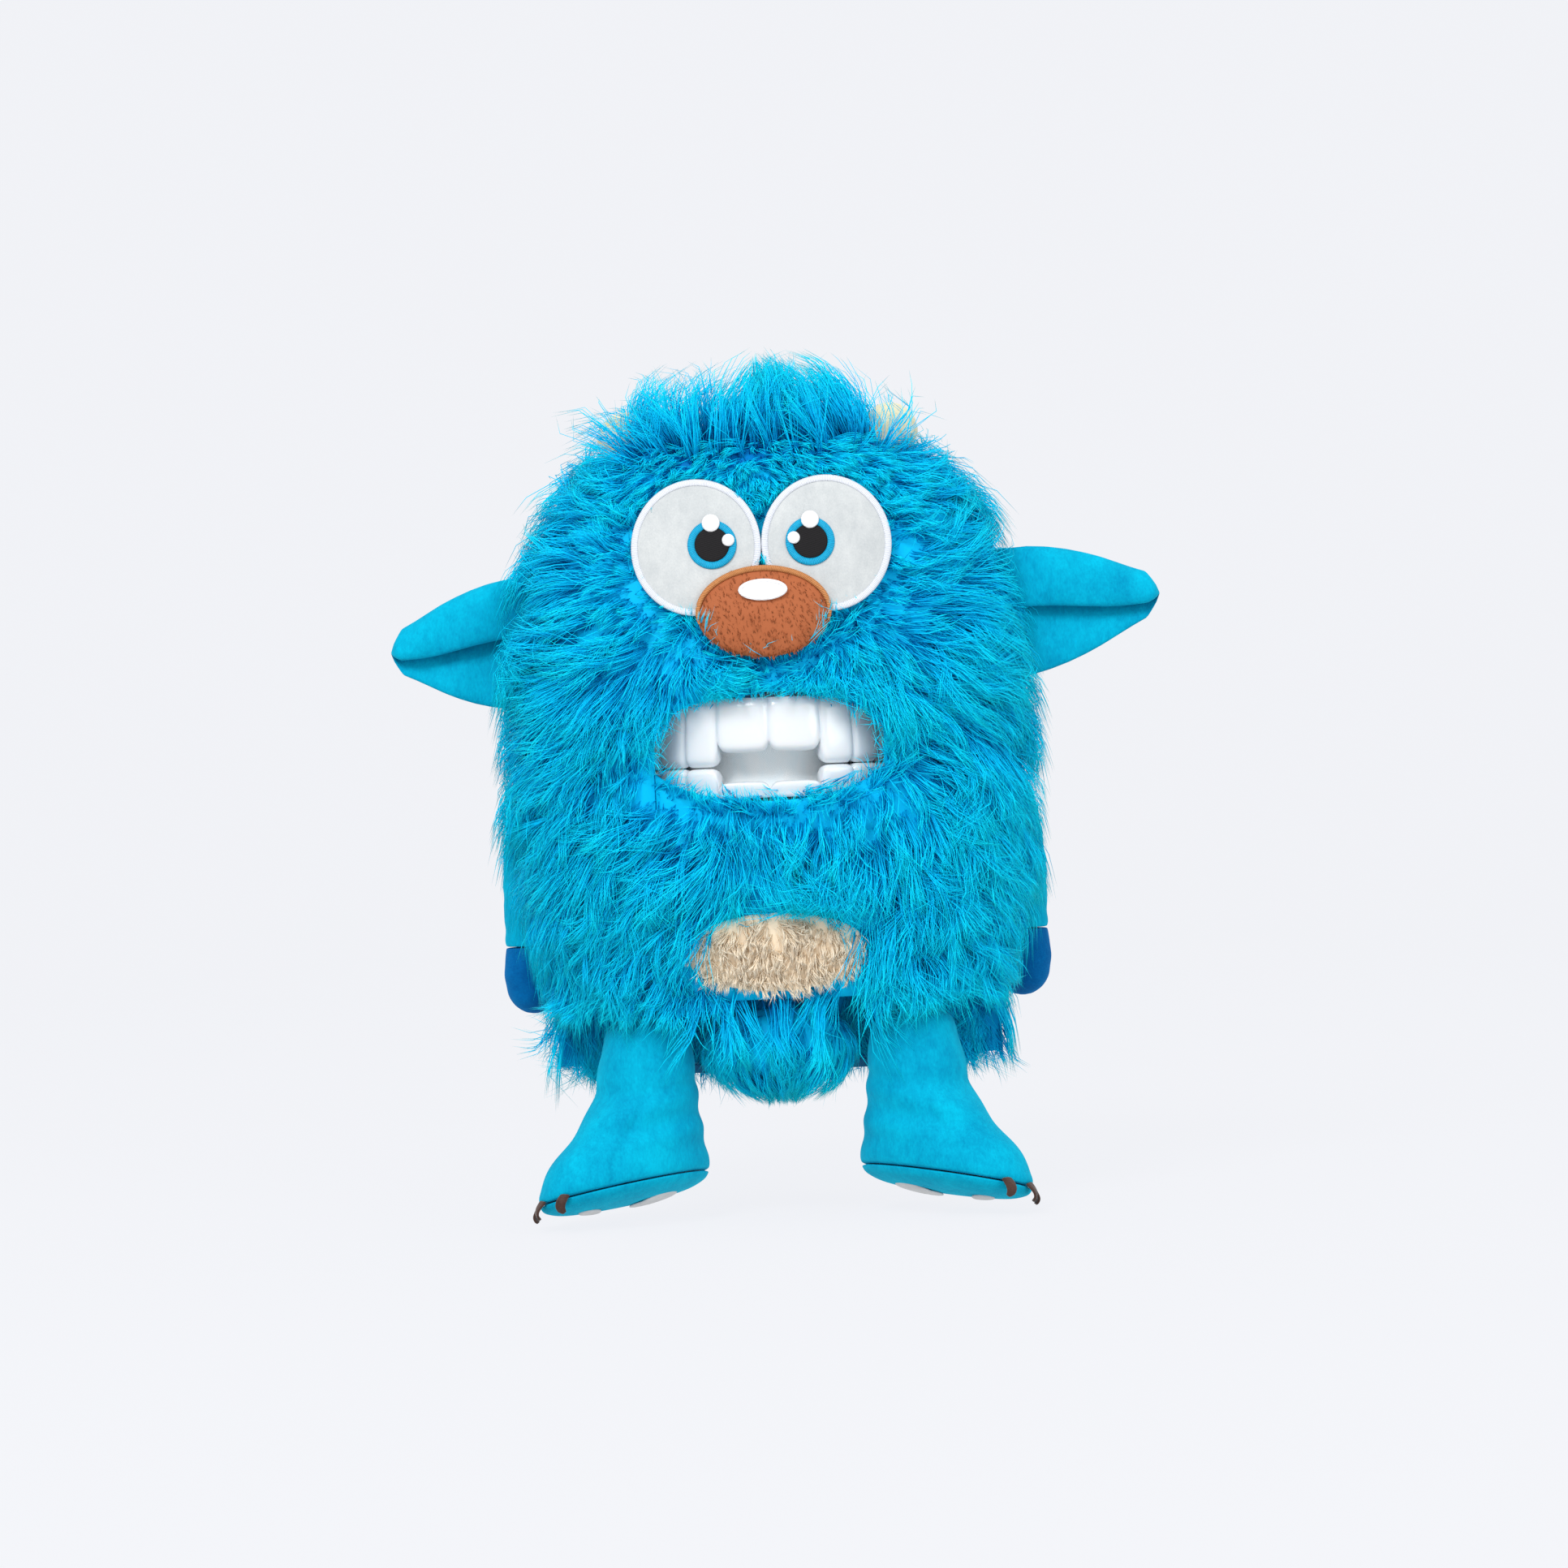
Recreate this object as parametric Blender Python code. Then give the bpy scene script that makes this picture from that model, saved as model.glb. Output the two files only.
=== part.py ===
"""Moving-mouth hand puppet: a plush monster with moulded teeth, worked by a hand from below.

The frame is +Z up with the face towards -Y. The origin is the middle of the hand opening in the
hem. Left and right are the puppet's own, so its left side is +X. Lengths in this file are in
millimetres, and new_solid turns them into metres.
"""

import math

import bmesh
import bpy
import numpy as np

METRES = 0.001

# The stuffed body is a superellipse in plan that swells and closes over its height.
BODY_HALF_WIDTH = 94.0
BODY_HALF_DEPTH = 50.0
BODY_MIDDLE_Y = -16.0
BODY_TOP_Z = 245.0
BODY_WIDEST_Z = 110.0
BODY_KEEL_Z = -22.0
PLAN_POWER = 2.4
DOME_POWER = 2.8
KEEL_POWER = 3.0
BACK_TAPER = 0.12
MUZZLE_SWELL = 7.0
MUZZLE_Z = 118.0
MUZZLE_REACH_X = 48.0
MUZZLE_REACH_Z = 34.0

PILE = 6.0
SEAM = 0.6
GAP = 0.5
FILL_GAP = 1.6
HEM_Z = 0.5
LEG_LINE_Z = 26.0
THROAT_Z = 62.0
CHIN_Z = 87.0
LIP_LOW_Z = 99.0
LIP_HIGH_Z = 139.0
CHEEK_TOP_Z = 142.0
LIP_CURVE = 15.0
CROWN_Z = 222.0
FACE_ANGLE = 52.0
BACK_ANGLE = 95.0
MOUTH_HALF_WIDTH = 47.0
HAND_ROOF_Z = 153.0

# The hand sleeve is a flat cloth tube round the origin's vertical axis.
SLEEVE_HALF_WIDTH = 44.0
SLEEVE_HALF_DEPTH = 18.0
SLEEVE_WALL = 1.2
SLEEVE_POWER = 4.0
SLEEVE_SIDE_X = SLEEVE_HALF_WIDTH + 3.5

# The mouth boards open in a V from the cloth hinge.
HINGE_Y = -19.0
HINGE_Z = 112.0
HINGE_RADIUS = 1.4
BOARD_HALF_WIDTH = 35.5
BOARD_FRONT_Y = -57.0
BOARD_BACK_Y = -22.0
BOARD_WALL = 2.2
LINING_WALL = 1.0
BOARD_SLOPE = 0.34
LOOP_FOOT = 4.7

ARCH_HALF_WIDTH = 45.0
ARCH_DEPTH = 28.5
ARCH_BACK_Y = -38.0
ARCH_WALL = 6.0
GUM_STEP = 5.2
GUM_BACK = 8.0
TOOTH_EDGES_X = (0.0, 19.5, 31.5, 41.0, 44.9)
UPPER_TIPS_Z = (117.5, 112.2, 113.0, 113.0)
LOWER_TIPS_Z = (106.0, 111.4, 111.8, 111.8)
UPPER_LIP_Z, UPPER_GUM_Z = 137.0, 147.0
LOWER_LIP_Z, LOWER_GUM_Z = 100.3, 92.0
GROOVE = 1.8

EYE_X, EYE_Z = 24.4, 193.0
EYE_HALF_WIDTH, EYE_HALF_HEIGHT = 24.0, 25.5
IRIS_X, IRIS_Z = 18.0, 193.6
IRIS_RADIUS, PUPIL_RADIUS = 9.0, 6.4
NOSE_Z = 168.0
NOSE_HALF_WIDTH, NOSE_HALF_HEIGHT = 24.5, 16.5

EAR_PIVOT = (92.0, -12.0, 165.0)
EAR_TIP_X = 142.0
HORN_AT = (48.5, -13.0)
SHOULDER = (94.3, 14.1, 98.0)
SHOULDER_OUT = (0.785, 0.62)
HIP = (50.0, -42.0, 6.0)
FOOT_SPLAY = 60.0
FOOT_ROLL = 0.26
FOOT_DROOP = 0.09

LOOKS = {
    "blue_fur": ((0.0, 0.34, 0.66), 0.85),
    "turquoise_plush": ((0.0, 0.42, 0.68), 0.85),
    "navy_plush": ((0.0, 0.12, 0.38), 0.85),
    "tan_plush": ((0.72, 0.52, 0.36), 0.85),
    "white_felt": ((0.76, 0.78, 0.80), 0.9),
    "blue_thread": ((0.0, 0.42, 0.68), 0.5),
    "black_thread": ((0.02, 0.02, 0.02), 0.5),
    "white_thread": ((0.9, 0.9, 0.92), 0.45),
    "brown_plush": ((0.36, 0.10, 0.04), 0.8),
    "dark_felt": ((0.07, 0.035, 0.028), 0.9),
    "cream_plush": ((0.78, 0.74, 0.58), 0.85),
    "tooth_rubber": ((0.88, 0.90, 0.93), 0.3),
    "grey_cloth": ((0.42, 0.48, 0.55), 0.8),
    "sleeve_cloth": ((0.02, 0.25, 0.5), 0.85),
    "board": ((0.55, 0.5, 0.42), 0.7),
    "fibre_fill": ((0.85, 0.85, 0.83), 0.95),
}


def material(name):
    """The named look as a Principled material, made once."""
    found = bpy.data.materials.get(name)
    if found:
        return found
    colour, roughness = LOOKS[name]
    made = bpy.data.materials.new(name)
    made.use_nodes = True
    shader = made.node_tree.nodes["Principled BSDF"]
    shader.inputs["Base Color"].default_value = (*colour, 1.0)
    shader.inputs["Roughness"].default_value = roughness
    return made


def new_solid(name, look, shell, pivot=(0.0, 0.0, 0.0)):
    """One object from a closed shell of (points, faces) in millimetres; its origin is the pivot."""
    points, faces = shell
    mesh = bpy.data.meshes.new(name)
    mesh.from_pydata([tuple((np.array(p) - pivot) * METRES) for p in points], [], faces)
    work = bmesh.new()
    work.from_mesh(mesh)
    bmesh.ops.recalc_face_normals(work, faces=work.faces)
    work.to_mesh(mesh)
    work.free()
    mesh.shade_smooth()
    mesh.set_sharp_from_angle(angle=math.radians(40))
    mesh.materials.append(material(look))
    made = bpy.data.objects.new(name, mesh)
    made.location = [c * METRES for c in pivot]
    bpy.context.scene.collection.objects.link(made)
    return made


def stack(rings, low_pole=None, high_pole=None):
    """A closed shell through rings of equal count; each end is a pole point or a flat face."""
    count = len(rings[0])
    points = [p for ring in rings for p in ring]
    faces = []
    for level in range(len(rings) - 1):
        for i in range(count):
            j = (i + 1) % count
            low, high = level * count, (level + 1) * count
            faces.append([low + i, low + j, high + j, high + i])
    ends = ((0, low_pole), ((len(rings) - 1) * count, high_pole))
    for first, pole in ends:
        if pole is None:
            faces.append([first + i for i in range(count)])
            continue
        points.append(pole)
        faces += [[first + i, first + (i + 1) % count, len(points) - 1] for i in range(count)]
    return points, faces


def slab(outer, inner):
    """A closed shell between two grids of points (rows x columns), joined round their edges."""
    rows, columns = len(outer), len(outer[0])
    points = [p for row in outer for p in row] + [p for row in inner for p in row]
    back = rows * columns
    faces = []
    for r in range(rows - 1):
        for c in range(columns - 1):
            a, b = r * columns + c, r * columns + c + 1
            d, e = a + columns, b + columns
            faces += [[a, b, e, d], [back + a, back + d, back + e, back + b]]
    rim = [c for c in range(columns)]
    rim += [r * columns + columns - 1 for r in range(1, rows)]
    rim += [(rows - 1) * columns + c for c in range(columns - 2, -1, -1)]
    rim += [r * columns for r in range(rows - 2, 0, -1)]
    faces += [[a, b, back + b, back + a] for a, b in zip(rim, rim[1:] + rim[:1])]
    return points, faces


def tube(outer_rings, inner_rings):
    """A closed wall between two stacks of rings, open through the middle."""
    loops = list(outer_rings) + list(inner_rings)[::-1]
    count, total = len(loops[0]), len(loops)
    points = [p for ring in loops for p in ring]
    faces = []
    for level in range(total):
        above = (level + 1) % total
        for i in range(count):
            j = (i + 1) % count
            faces.append([level * count + i, level * count + j, above * count + j, above * count + i])
    return points, faces


def swell(z, inset=0.0):
    """How full the body is at height z, from 0 at its ends to 1 at its widest."""
    if z >= BODY_WIDEST_Z:
        share, power = (z - BODY_WIDEST_Z) / (BODY_TOP_Z - inset - BODY_WIDEST_Z), DOME_POWER
    else:
        share, power = (BODY_WIDEST_Z - z) / (BODY_WIDEST_Z - BODY_KEEL_Z), KEEL_POWER
    return max(0.0, 1.0 - share**power) ** (1.0 / power)


def half_sizes(z, inset, behind):
    """Half width and half depth of the body at height z, on its front or its back."""
    full = swell(z, inset)
    deep = full
    if behind and z < BODY_WIDEST_Z:
        deep = 1.0 - BACK_TAPER * ((BODY_WIDEST_Z - z) / BODY_WIDEST_Z) ** 2
    return (BODY_HALF_WIDTH - inset) * full, (BODY_HALF_DEPTH - inset) * deep


def muzzle(x, z, half_width):
    """How far the cheeks and lips stand forward of the plain body."""
    fade = max(0.0, 1.0 - (x / half_width) ** 2) if half_width > 0 else 0.0
    bump = math.exp(-((x / MUZZLE_REACH_X) ** 2) - ((z - MUZZLE_Z) / MUZZLE_REACH_Z) ** 2)
    return MUZZLE_SWELL * bump * fade


def skin(angle, z, inset=0.0):
    """A point on the body at an angle in degrees from the front, inset from its outer face."""
    s, c = math.sin(math.radians(angle)), math.cos(math.radians(angle))
    a, b = half_sizes(z, inset, behind=c < 0)
    reach = (abs(s) ** PLAN_POWER + abs(c) ** PLAN_POWER) ** (-1.0 / PLAN_POWER)
    x = a * reach * s
    y = BODY_MIDDLE_Y - b * reach * c
    if c > 0:
        y -= muzzle(x, z, a)
    return x, y, z


def angle_at(x, z, inset=0.0, behind=False):
    """The angle at which the body's inset face crosses the plane at x."""
    a, b = half_sizes(z, inset, behind)
    across = min(1.0, x / a)
    along = (1.0 - across**PLAN_POWER) ** (1.0 / PLAN_POWER)
    found = math.degrees(math.atan2(across, along))
    return 180.0 - found if behind else found


def front_y(x, z, lift=0.0):
    """The body's front face at (x, z), lifted towards the viewer."""
    a, b = half_sizes(z, 0.0, behind=False)
    along = (1.0 - min(1.0, abs(x) / a) ** PLAN_POWER) ** (1.0 / PLAN_POWER)
    return BODY_MIDDLE_Y - b * along - muzzle(x, z, a) - lift


def spread(first, last, count):
    return [float(v) for v in np.linspace(first, last, count)]


def mirrored(part):
    """The same shell on the other side of the body."""
    points, faces = part
    return [(-p[0], p[1], p[2]) for p in points], [face[::-1] for face in faces]


def panel(angles, low_z, high_z, rows):
    """A sewn panel of fur cloth: a patch of the body's outer face, one pile thick.

    angles gives the columns at a height, and low_z and high_z the edges at each column.
    """
    half_seam = SEAM / 2
    trim = math.degrees(half_seam / BODY_HALF_WIDTH) * 1.6
    grids = []
    for inset in (0.0, PILE):
        grid = []
        for share in spread(0.0, 1.0, rows):
            row = []
            for i in range(len(angles(low_z[0]))):
                z = low_z[i] + half_seam + (high_z[i] - low_z[i] - SEAM) * share
                columns = angles(z)
                pull = trim * (1.0 - 2.0 * i / (len(columns) - 1))
                row.append(skin(columns[i] + pull, z, inset))
            grid.append(row)
        grids.append(grid)
    return slab(*grids)


def plain_panel(low_angle, high_angle, low_z, high_z, columns, rows):
    """A panel between fixed angles and level edges."""
    angles = spread(low_angle, high_angle, columns)
    return panel(lambda z: angles, [low_z] * columns, [high_z] * columns, rows)


def lip_curve(x):
    """How far the lips draw together at x, so that the mouth is a lens."""
    return LIP_CURVE * (1.0 - max(0.0, 1.0 - (x / MOUTH_HALF_WIDTH) ** 2) ** 0.6)


def fur_panels():
    """The outer coat: crown, face, cheeks, sides, back and belly, with seams between them."""
    steps = 26
    around = spread(0.0, 360.0, steps + 1)[:-1]
    top = BODY_TOP_Z
    outer_z = [top - (top - CROWN_Z - SEAM / 2) * t * t for t in (1.0, 0.8, 0.6, 0.4, 0.2)]
    inner_z = [top - PILE - (top - PILE - CROWN_Z - SEAM / 2) * t * t for t in (0.25, 0.5, 0.75, 1.0)]
    outer = [[skin(a, z) for a in around] for z in outer_z]
    inner = [[skin(a, z, PILE) for a in around] for z in inner_z]
    low_pole = (0.0, BODY_MIDDLE_Y, top - PILE)
    high_pole = (0.0, BODY_MIDDLE_Y, top)
    new_solid("crown_fur", "blue_fur", stack(inner + outer, low_pole, high_pole))

    inner_x, outer_x = MOUTH_HALF_WIDTH - 1.4, MOUTH_HALF_WIDTH - 0.1
    half = spread(0.0, angle_at(inner_x, LIP_HIGH_Z), 6) + spread(angle_at(outer_x, CHEEK_TOP_Z), FACE_ANGLE, 4)
    lip = [LIP_HIGH_Z - lip_curve(skin(a, LIP_HIGH_Z)[0]) for a in half[:6]] + [CHEEK_TOP_Z] * 4
    angles = [-a for a in half[:0:-1]] + half
    low = lip[:0:-1] + lip
    new_solid("face_fur", "blue_fur", panel(lambda z: angles, low, [CROWN_Z] * len(low), 9))
    new_solid("belly_fur", "blue_fur", plain_panel(-FACE_ANGLE, FACE_ANGLE, LEG_LINE_Z, THROAT_Z, 13, 5))
    new_solid("back_fur", "blue_fur", plain_panel(BACK_ANGLE, 360.0 - BACK_ANGLE, HEM_Z, CROWN_Z, 17, 13))
    side = plain_panel(FACE_ANGLE, BACK_ANGLE, LEG_LINE_Z, CROWN_Z, 5, 11)
    new_solid("side_fur_left", "blue_fur", side)
    new_solid("side_fur_right", "blue_fur", mirrored(side))

    def cheek_angles(z):
        return spread(angle_at(MOUTH_HALF_WIDTH, z), FACE_ANGLE, 4)

    cheek = panel(cheek_angles, [THROAT_Z] * 4, [CHEEK_TOP_Z] * 4, 7)
    new_solid("cheek_fur_left", "blue_fur", cheek)
    new_solid("cheek_fur_right", "blue_fur", mirrored(cheek))


def upright(outline, heights):
    """A shell standing through the heights, from an outline function of the height."""
    return stack([outline(z) for z in heights])


def fibre_blocks():
    """Loose fibre filling, in the blocks that the hand cavity leaves."""
    inset = PILE + FILL_GAP
    around = spread(0.0, 360.0, 25)[:-1]
    top = BODY_TOP_Z - inset
    heights = spread(HAND_ROOF_Z + 1.0, 200.0, 4) + [top - (top - 200.0) * t * t for t in (0.75, 0.5, 0.25)]
    rings = [[skin(a, z, inset) for a in around] for z in heights]
    new_solid("head_stuffing", "fibre_fill", stack(rings, None, (0.0, BODY_MIDDLE_Y, top)))

    def back_outline(z):
        wall = SLEEVE_HALF_DEPTH + GAP
        a, b = half_sizes(z, inset, behind=True)
        level = ((wall + 2.0 - BODY_MIDDLE_Y) / b) ** PLAN_POWER
        limit = min(SLEEVE_SIDE_X - 0.6, a * (1.0 - level) ** (1.0 / PLAN_POWER))
        first = angle_at(limit, z, inset, behind=True)
        arc = [skin(turn, z, inset) for turn in spread(first, 360.0 - first, 9)]
        return arc + [(-limit, wall, z), (limit, wall, z)]

    new_solid("back_stuffing", "fibre_fill", upright(back_outline, spread(2.0, HAND_ROOF_Z, 7)))

    def side_outline(z):
        first = BACK_ANGLE - 2.0 if z < LEG_LINE_Z + 1.2 else angle_at(SLEEVE_SIDE_X + 4.0, z, inset)
        last = angle_at(SLEEVE_SIDE_X, z, inset, behind=True)
        arc = [skin(a, z, inset) for a in spread(first, last, 10)]
        return arc + [(SLEEVE_SIDE_X, arc[0][1], z)]

    heights = [2.0, LEG_LINE_Z + 1.0] + spread(LEG_LINE_Z + 1.6, HAND_ROOF_Z, 7)
    side = upright(side_outline, heights)
    new_solid("side_stuffing_left", "fibre_fill", side)
    new_solid("side_stuffing_right", "fibre_fill", mirrored(side))

    def belly_outline(z):
        limit = SLEEVE_SIDE_X - 0.6
        first = angle_at(limit, z, inset)
        arc = [skin(a, z, inset) for a in spread(-first, first, 9)]
        wall = -SLEEVE_HALF_DEPTH - GAP
        return arc + [(limit, wall, z), (-limit, wall, z)]

    new_solid("belly_stuffing", "fibre_fill", upright(belly_outline, spread(LEG_LINE_Z + 1.5, 58.0, 4)))


def seat():
    """The stuffed seat that hangs between the legs."""
    half = (27.0, 17.0, 16.0)
    middle = (0.0, -38.6, 8.5)
    tilts = [math.radians(t) for t in spread(-75.0, 75.0, 8)]
    rings = []
    for tilt in tilts:
        ring = []
        for turn in spread(0.0, 2 * math.pi, 21)[:-1]:
            ring.append(
                (
                    middle[0] + half[0] * math.cos(tilt) ** 0.8 * math.cos(turn),
                    middle[1] + half[1] * math.cos(tilt) ** 0.8 * math.sin(turn),
                    middle[2] + half[2] * math.sin(tilt),
                )
            )
        rings.append(ring)
    poles = [(middle[0], middle[1], middle[2] + side * half[2]) for side in (-1, 1)]
    new_solid("seat_fur", "blue_fur", stack(rings, *poles))


def sleeve_ring(z, inset, steps=36):
    ring = []
    for turn in spread(0.0, 2 * math.pi, steps + 1)[:-1]:
        s, c = math.sin(turn), math.cos(turn)
        reach = (abs(s) ** SLEEVE_POWER + abs(c) ** SLEEVE_POWER) ** (-1.0 / SLEEVE_POWER)
        ring.append(((SLEEVE_HALF_WIDTH - inset) * reach * s, (SLEEVE_HALF_DEPTH - inset) * reach * c, z))
    return ring


def hand_parts():
    """The cloth sleeve that the hand goes up, its hem, and the loops for fingers and thumb."""
    outer = [sleeve_ring(z, 0.0) for z in (1.0, 58.0)]
    inner = [sleeve_ring(z, SLEEVE_WALL) for z in (1.0, 58.0)]
    new_solid("hand_sleeve", "sleeve_cloth", tube(outer, inner))

    rim = [sleeve_ring(z, -2.0) for z in (-3.0, 0.0)]
    hole = [sleeve_ring(z, SLEEVE_WALL) for z in (-3.0, 0.0)]
    new_solid("hem_binding", "sleeve_cloth", tube(rim, hole))

    def strap(half_width, rise, front, back, wall):
        """A strap bent over in an arch, its feet following the slope of the board that it is sewn to."""
        side = math.copysign(1.0, rise)
        sheets = []
        for thin in (0.0, wall):
            rows = []
            for turn in spread(0.0, math.pi, 13):
                c, s = math.cos(turn), math.sin(turn)
                reach = (abs(s) ** 3 + abs(c) ** 3) ** (-1.0 / 3)
                across = (half_width - thin) * reach * c
                lift = side * (LOOP_FOOT + (abs(rise) - thin) * reach * s)
                rows.append([(across, y, HINGE_Z + side * BOARD_SLOPE * (HINGE_Y - y) + lift) for y in (front, back)])
            sheets.append(rows)
        return slab(*sheets)

    new_solid("finger_loop", "sleeve_cloth", strap(33.0, 23.0, -44.0, -30.0, 1.4))
    thumb = strap(14.0, -20.0, -41.0, -29.0, 1.4)
    new_solid("thumb_loop", "sleeve_cloth", thumb, (0.0, HINGE_Y, HINGE_Z))


def board_slab(side, near, far, shrink):
    """A mouth board or its lining: a D-shaped slab that slopes away from the hinge.

    side is +1 above the mouth and -1 below; near and far are its distances from the V's face.
    """
    half_width, depth = BOARD_HALF_WIDTH - shrink, ARCH_BACK_Y - BOARD_FRONT_Y - shrink
    outline = [(half_width, BOARD_BACK_Y)]
    for turn in spread(0.0, math.pi, 15):
        outline.append((half_width * math.cos(turn), ARCH_BACK_Y - depth * math.sin(turn)))
    outline.append((-half_width, BOARD_BACK_Y))
    rings = []
    for away in (near, far):
        rings.append([(x, y, HINGE_Z + side * (away + BOARD_SLOPE * (HINGE_Y - y))) for x, y in outline])
    return stack(rings)


def mouth_parts():
    """The stiff boards, their grey linings and the cloth hinge that lets the jaw drop."""
    hinge = (0.0, HINGE_Y, HINGE_Z)
    for side, which in ((1, "upper"), (-1, "lower")):
        pivot = hinge if side < 0 else (0.0, 0.0, 0.0)
        near = 0.8
        lining = board_slab(side, near, near + LINING_WALL, 0.8)
        new_solid(f"{which}_mouth_lining", "grey_cloth", lining, pivot)
        start = near + LINING_WALL + 0.3
        board = board_slab(side, start, start + BOARD_WALL, 0.0)
        new_solid(f"{which}_mouth_board", "board", board, pivot)
    ends = []
    for x in (-38.0, 38.0):
        circle = [
            (x, HINGE_Y + HINGE_RADIUS * math.cos(t), HINGE_Z + HINGE_RADIUS * math.sin(t))
            for t in spread(0.0, 2 * math.pi, 13)[:-1]
        ]
        ends.append(circle)
    new_solid("mouth_hinge_cord", "grey_cloth", stack(ends))


def tooth_row(tips, lip_z, gum_z):
    """A moulded row of teeth on one arch: flat crowns between grooves, on a gum set back from the lip."""
    edges = [math.asin(x / ARCH_HALF_WIDTH) for x in TOOTH_EDGES_X]
    half_row = []
    for i, tip in enumerate(tips):
        for share in spread(-0.95, 0.95, 7):
            half_row.append((edges[i] + (edges[i + 1] - edges[i]) * (share + 1) / 2, share, tip))
    whole = [(-turn, -share, tip) for turn, share, tip in half_row[::-1]] + half_row
    up = math.copysign(1.0, lip_z - tips[0])
    rings = []
    for turn, share, tip in whole:
        tip_z = tip + up * 1.8 * share**4
        grow = lip_z - tip_z
        groove = -GROOVE * share**4
        outline = [(tip_z, groove - 1.6), (tip_z + 0.06 * grow, groove - 0.3), (tip_z + 0.25 * grow, groove + 0.5)]
        outline += [(tip_z + 0.6 * grow, groove + 0.6), (lip_z, groove), (lip_z, -GUM_STEP), (gum_z, -GUM_STEP)]
        outline += [(gum_z, -GUM_BACK), (lip_z - 0.3 * grow, -ARCH_WALL), (tip_z, 1.8 - ARCH_WALL)]
        ring = []
        for z, push in outline:
            wide, deep = ARCH_HALF_WIDTH - 0.6 + push, ARCH_DEPTH - 0.6 + push
            ring.append((wide * math.sin(turn), ARCH_BACK_Y - deep * math.cos(turn), z))
        rings.append(ring)
    return stack(rings)


def teeth():
    new_solid("upper_teeth", "tooth_rubber", tooth_row(UPPER_TIPS_Z, UPPER_LIP_Z, UPPER_GUM_Z))
    lower = tooth_row(LOWER_TIPS_Z, LOWER_LIP_Z, LOWER_GUM_Z)
    new_solid("lower_teeth", "tooth_rubber", lower, (0.0, HINGE_Y, HINGE_Z))


def chin():
    """The furry chin that drops with the lower board, and the slack cloth of the throat under it."""
    reach = MOUTH_HALF_WIDTH - 2.0

    def angles(z):
        return spread(-angle_at(reach, z), angle_at(reach, z), 11)

    lip = [LIP_LOW_Z + lip_curve(skin(a, LIP_LOW_Z)[0]) for a in angles(LIP_LOW_Z)]
    new_solid("chin_fur", "blue_fur", panel(angles, [CHIN_Z] * 11, lip, 4), (0.0, HINGE_Y, HINGE_Z))
    new_solid("throat_gusset", "blue_fur", panel(angles, [THROAT_Z] * 11, [CHIN_Z] * 11, 4))


def applique(middle, half, lift, wall, corners, rings=1, dome=0.0):
    """A cloth shape on the face: an oval that follows the body, lifted off it and perhaps domed."""
    sheets = []
    for height, rise in ((lift + wall, dome), (lift, 0.0)):
        points = [(middle[0], front_y(*middle, height + rise), middle[1])]
        for ring in range(1, rings + 1):
            share = ring / rings
            for turn in spread(0.0, 2 * math.pi, corners + 1)[:-1]:
                x = middle[0] + half[0] * share * math.cos(turn)
                z = middle[1] + half[1] * share * math.sin(turn)
                points.append((x, front_y(x, z, height + rise * (1.0 - share**2)), z))
        sheets.append(points)
    back = len(sheets[0])
    faces = []
    for i in range(corners):
        j = (i + 1) % corners
        faces += [[0, 1 + i, 1 + j], [back, back + 1 + j, back + 1 + i]]
        for ring in range(rings - 1):
            a, b = 1 + ring * corners + i, 1 + ring * corners + j
            d, e = a + corners, b + corners
            faces += [[a, d, e, b], [back + a, back + b, back + e, back + d]]
        a, b = 1 + (rings - 1) * corners + i, 1 + (rings - 1) * corners + j
        faces.append([a, back + a, back + b, b])
    return sheets[0] + sheets[1], faces


def glint_pair(side, lift, wall):
    """Two stitched highlights on one eye, a large one above and a small one beside, on one narrow stitch."""
    start, end = np.array([0.0, 8.0]), np.array([-6.0, 1.4])
    length = float(np.linalg.norm(end - start))
    step = (end - start) / length
    cross = np.array([-step[1], step[0]])
    sheets = []
    for height in (lift + wall, lift):
        rows = []
        for t in (-3.3, -2.4, 0.0, 2.4, 3.2, length - 2.2, length - 1.5, length, length + 1.5, length + 2.2):
            half = max(3.3**2 - t * t, 2.3**2 - (t - length) ** 2, 0.2) ** 0.5
            row = []
            for share in (-1.0, 0.0, 1.0):
                u, v = start + step * t + cross * half * share
                x, z = side * (IRIS_X + u), IRIS_Z + v
                row.append((x, front_y(x, z, height), z))
            rows.append(row)
        sheets.append(rows)
    return slab(*sheets)


def face_parts():
    """Embroidered felt eyes and the plush nose, layer on layer."""
    for side, which in ((1, "left"), (-1, "right")):
        white = applique((side * EYE_X, EYE_Z), (EYE_HALF_WIDTH - 0.3, EYE_HALF_HEIGHT), 0.8, 1.2, 24, 3)
        new_solid(f"eye_white_{which}", "white_felt", white)
        iris = applique((side * IRIS_X, IRIS_Z), (IRIS_RADIUS, IRIS_RADIUS), 2.4, 0.7, 18)
        new_solid(f"iris_{which}", "blue_thread", iris)
        pupil = applique((side * IRIS_X, IRIS_Z), (PUPIL_RADIUS, PUPIL_RADIUS), 3.5, 0.5, 16)
        new_solid(f"pupil_{which}", "black_thread", pupil)
        new_solid(f"eye_glint_{which}", "white_thread", glint_pair(side, 4.4, 0.5))
    nose = applique((0.0, NOSE_Z), (NOSE_HALF_WIDTH, NOSE_HALF_HEIGHT), 2.5, 1.6, 26, 3, dome=3.6)
    new_solid("nose", "brown_plush", nose)
    shine = applique((0.0, NOSE_Z + 8.0), (9.0, 3.9), 8.0, 0.6, 16)
    new_solid("nose_glint", "white_thread", shine)
    patch = applique((0.0, 43.5), (34.0, 14.5), 0.8, 4.0, 26, 3)
    new_solid("belly_patch", "tan_plush", patch)


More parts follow.
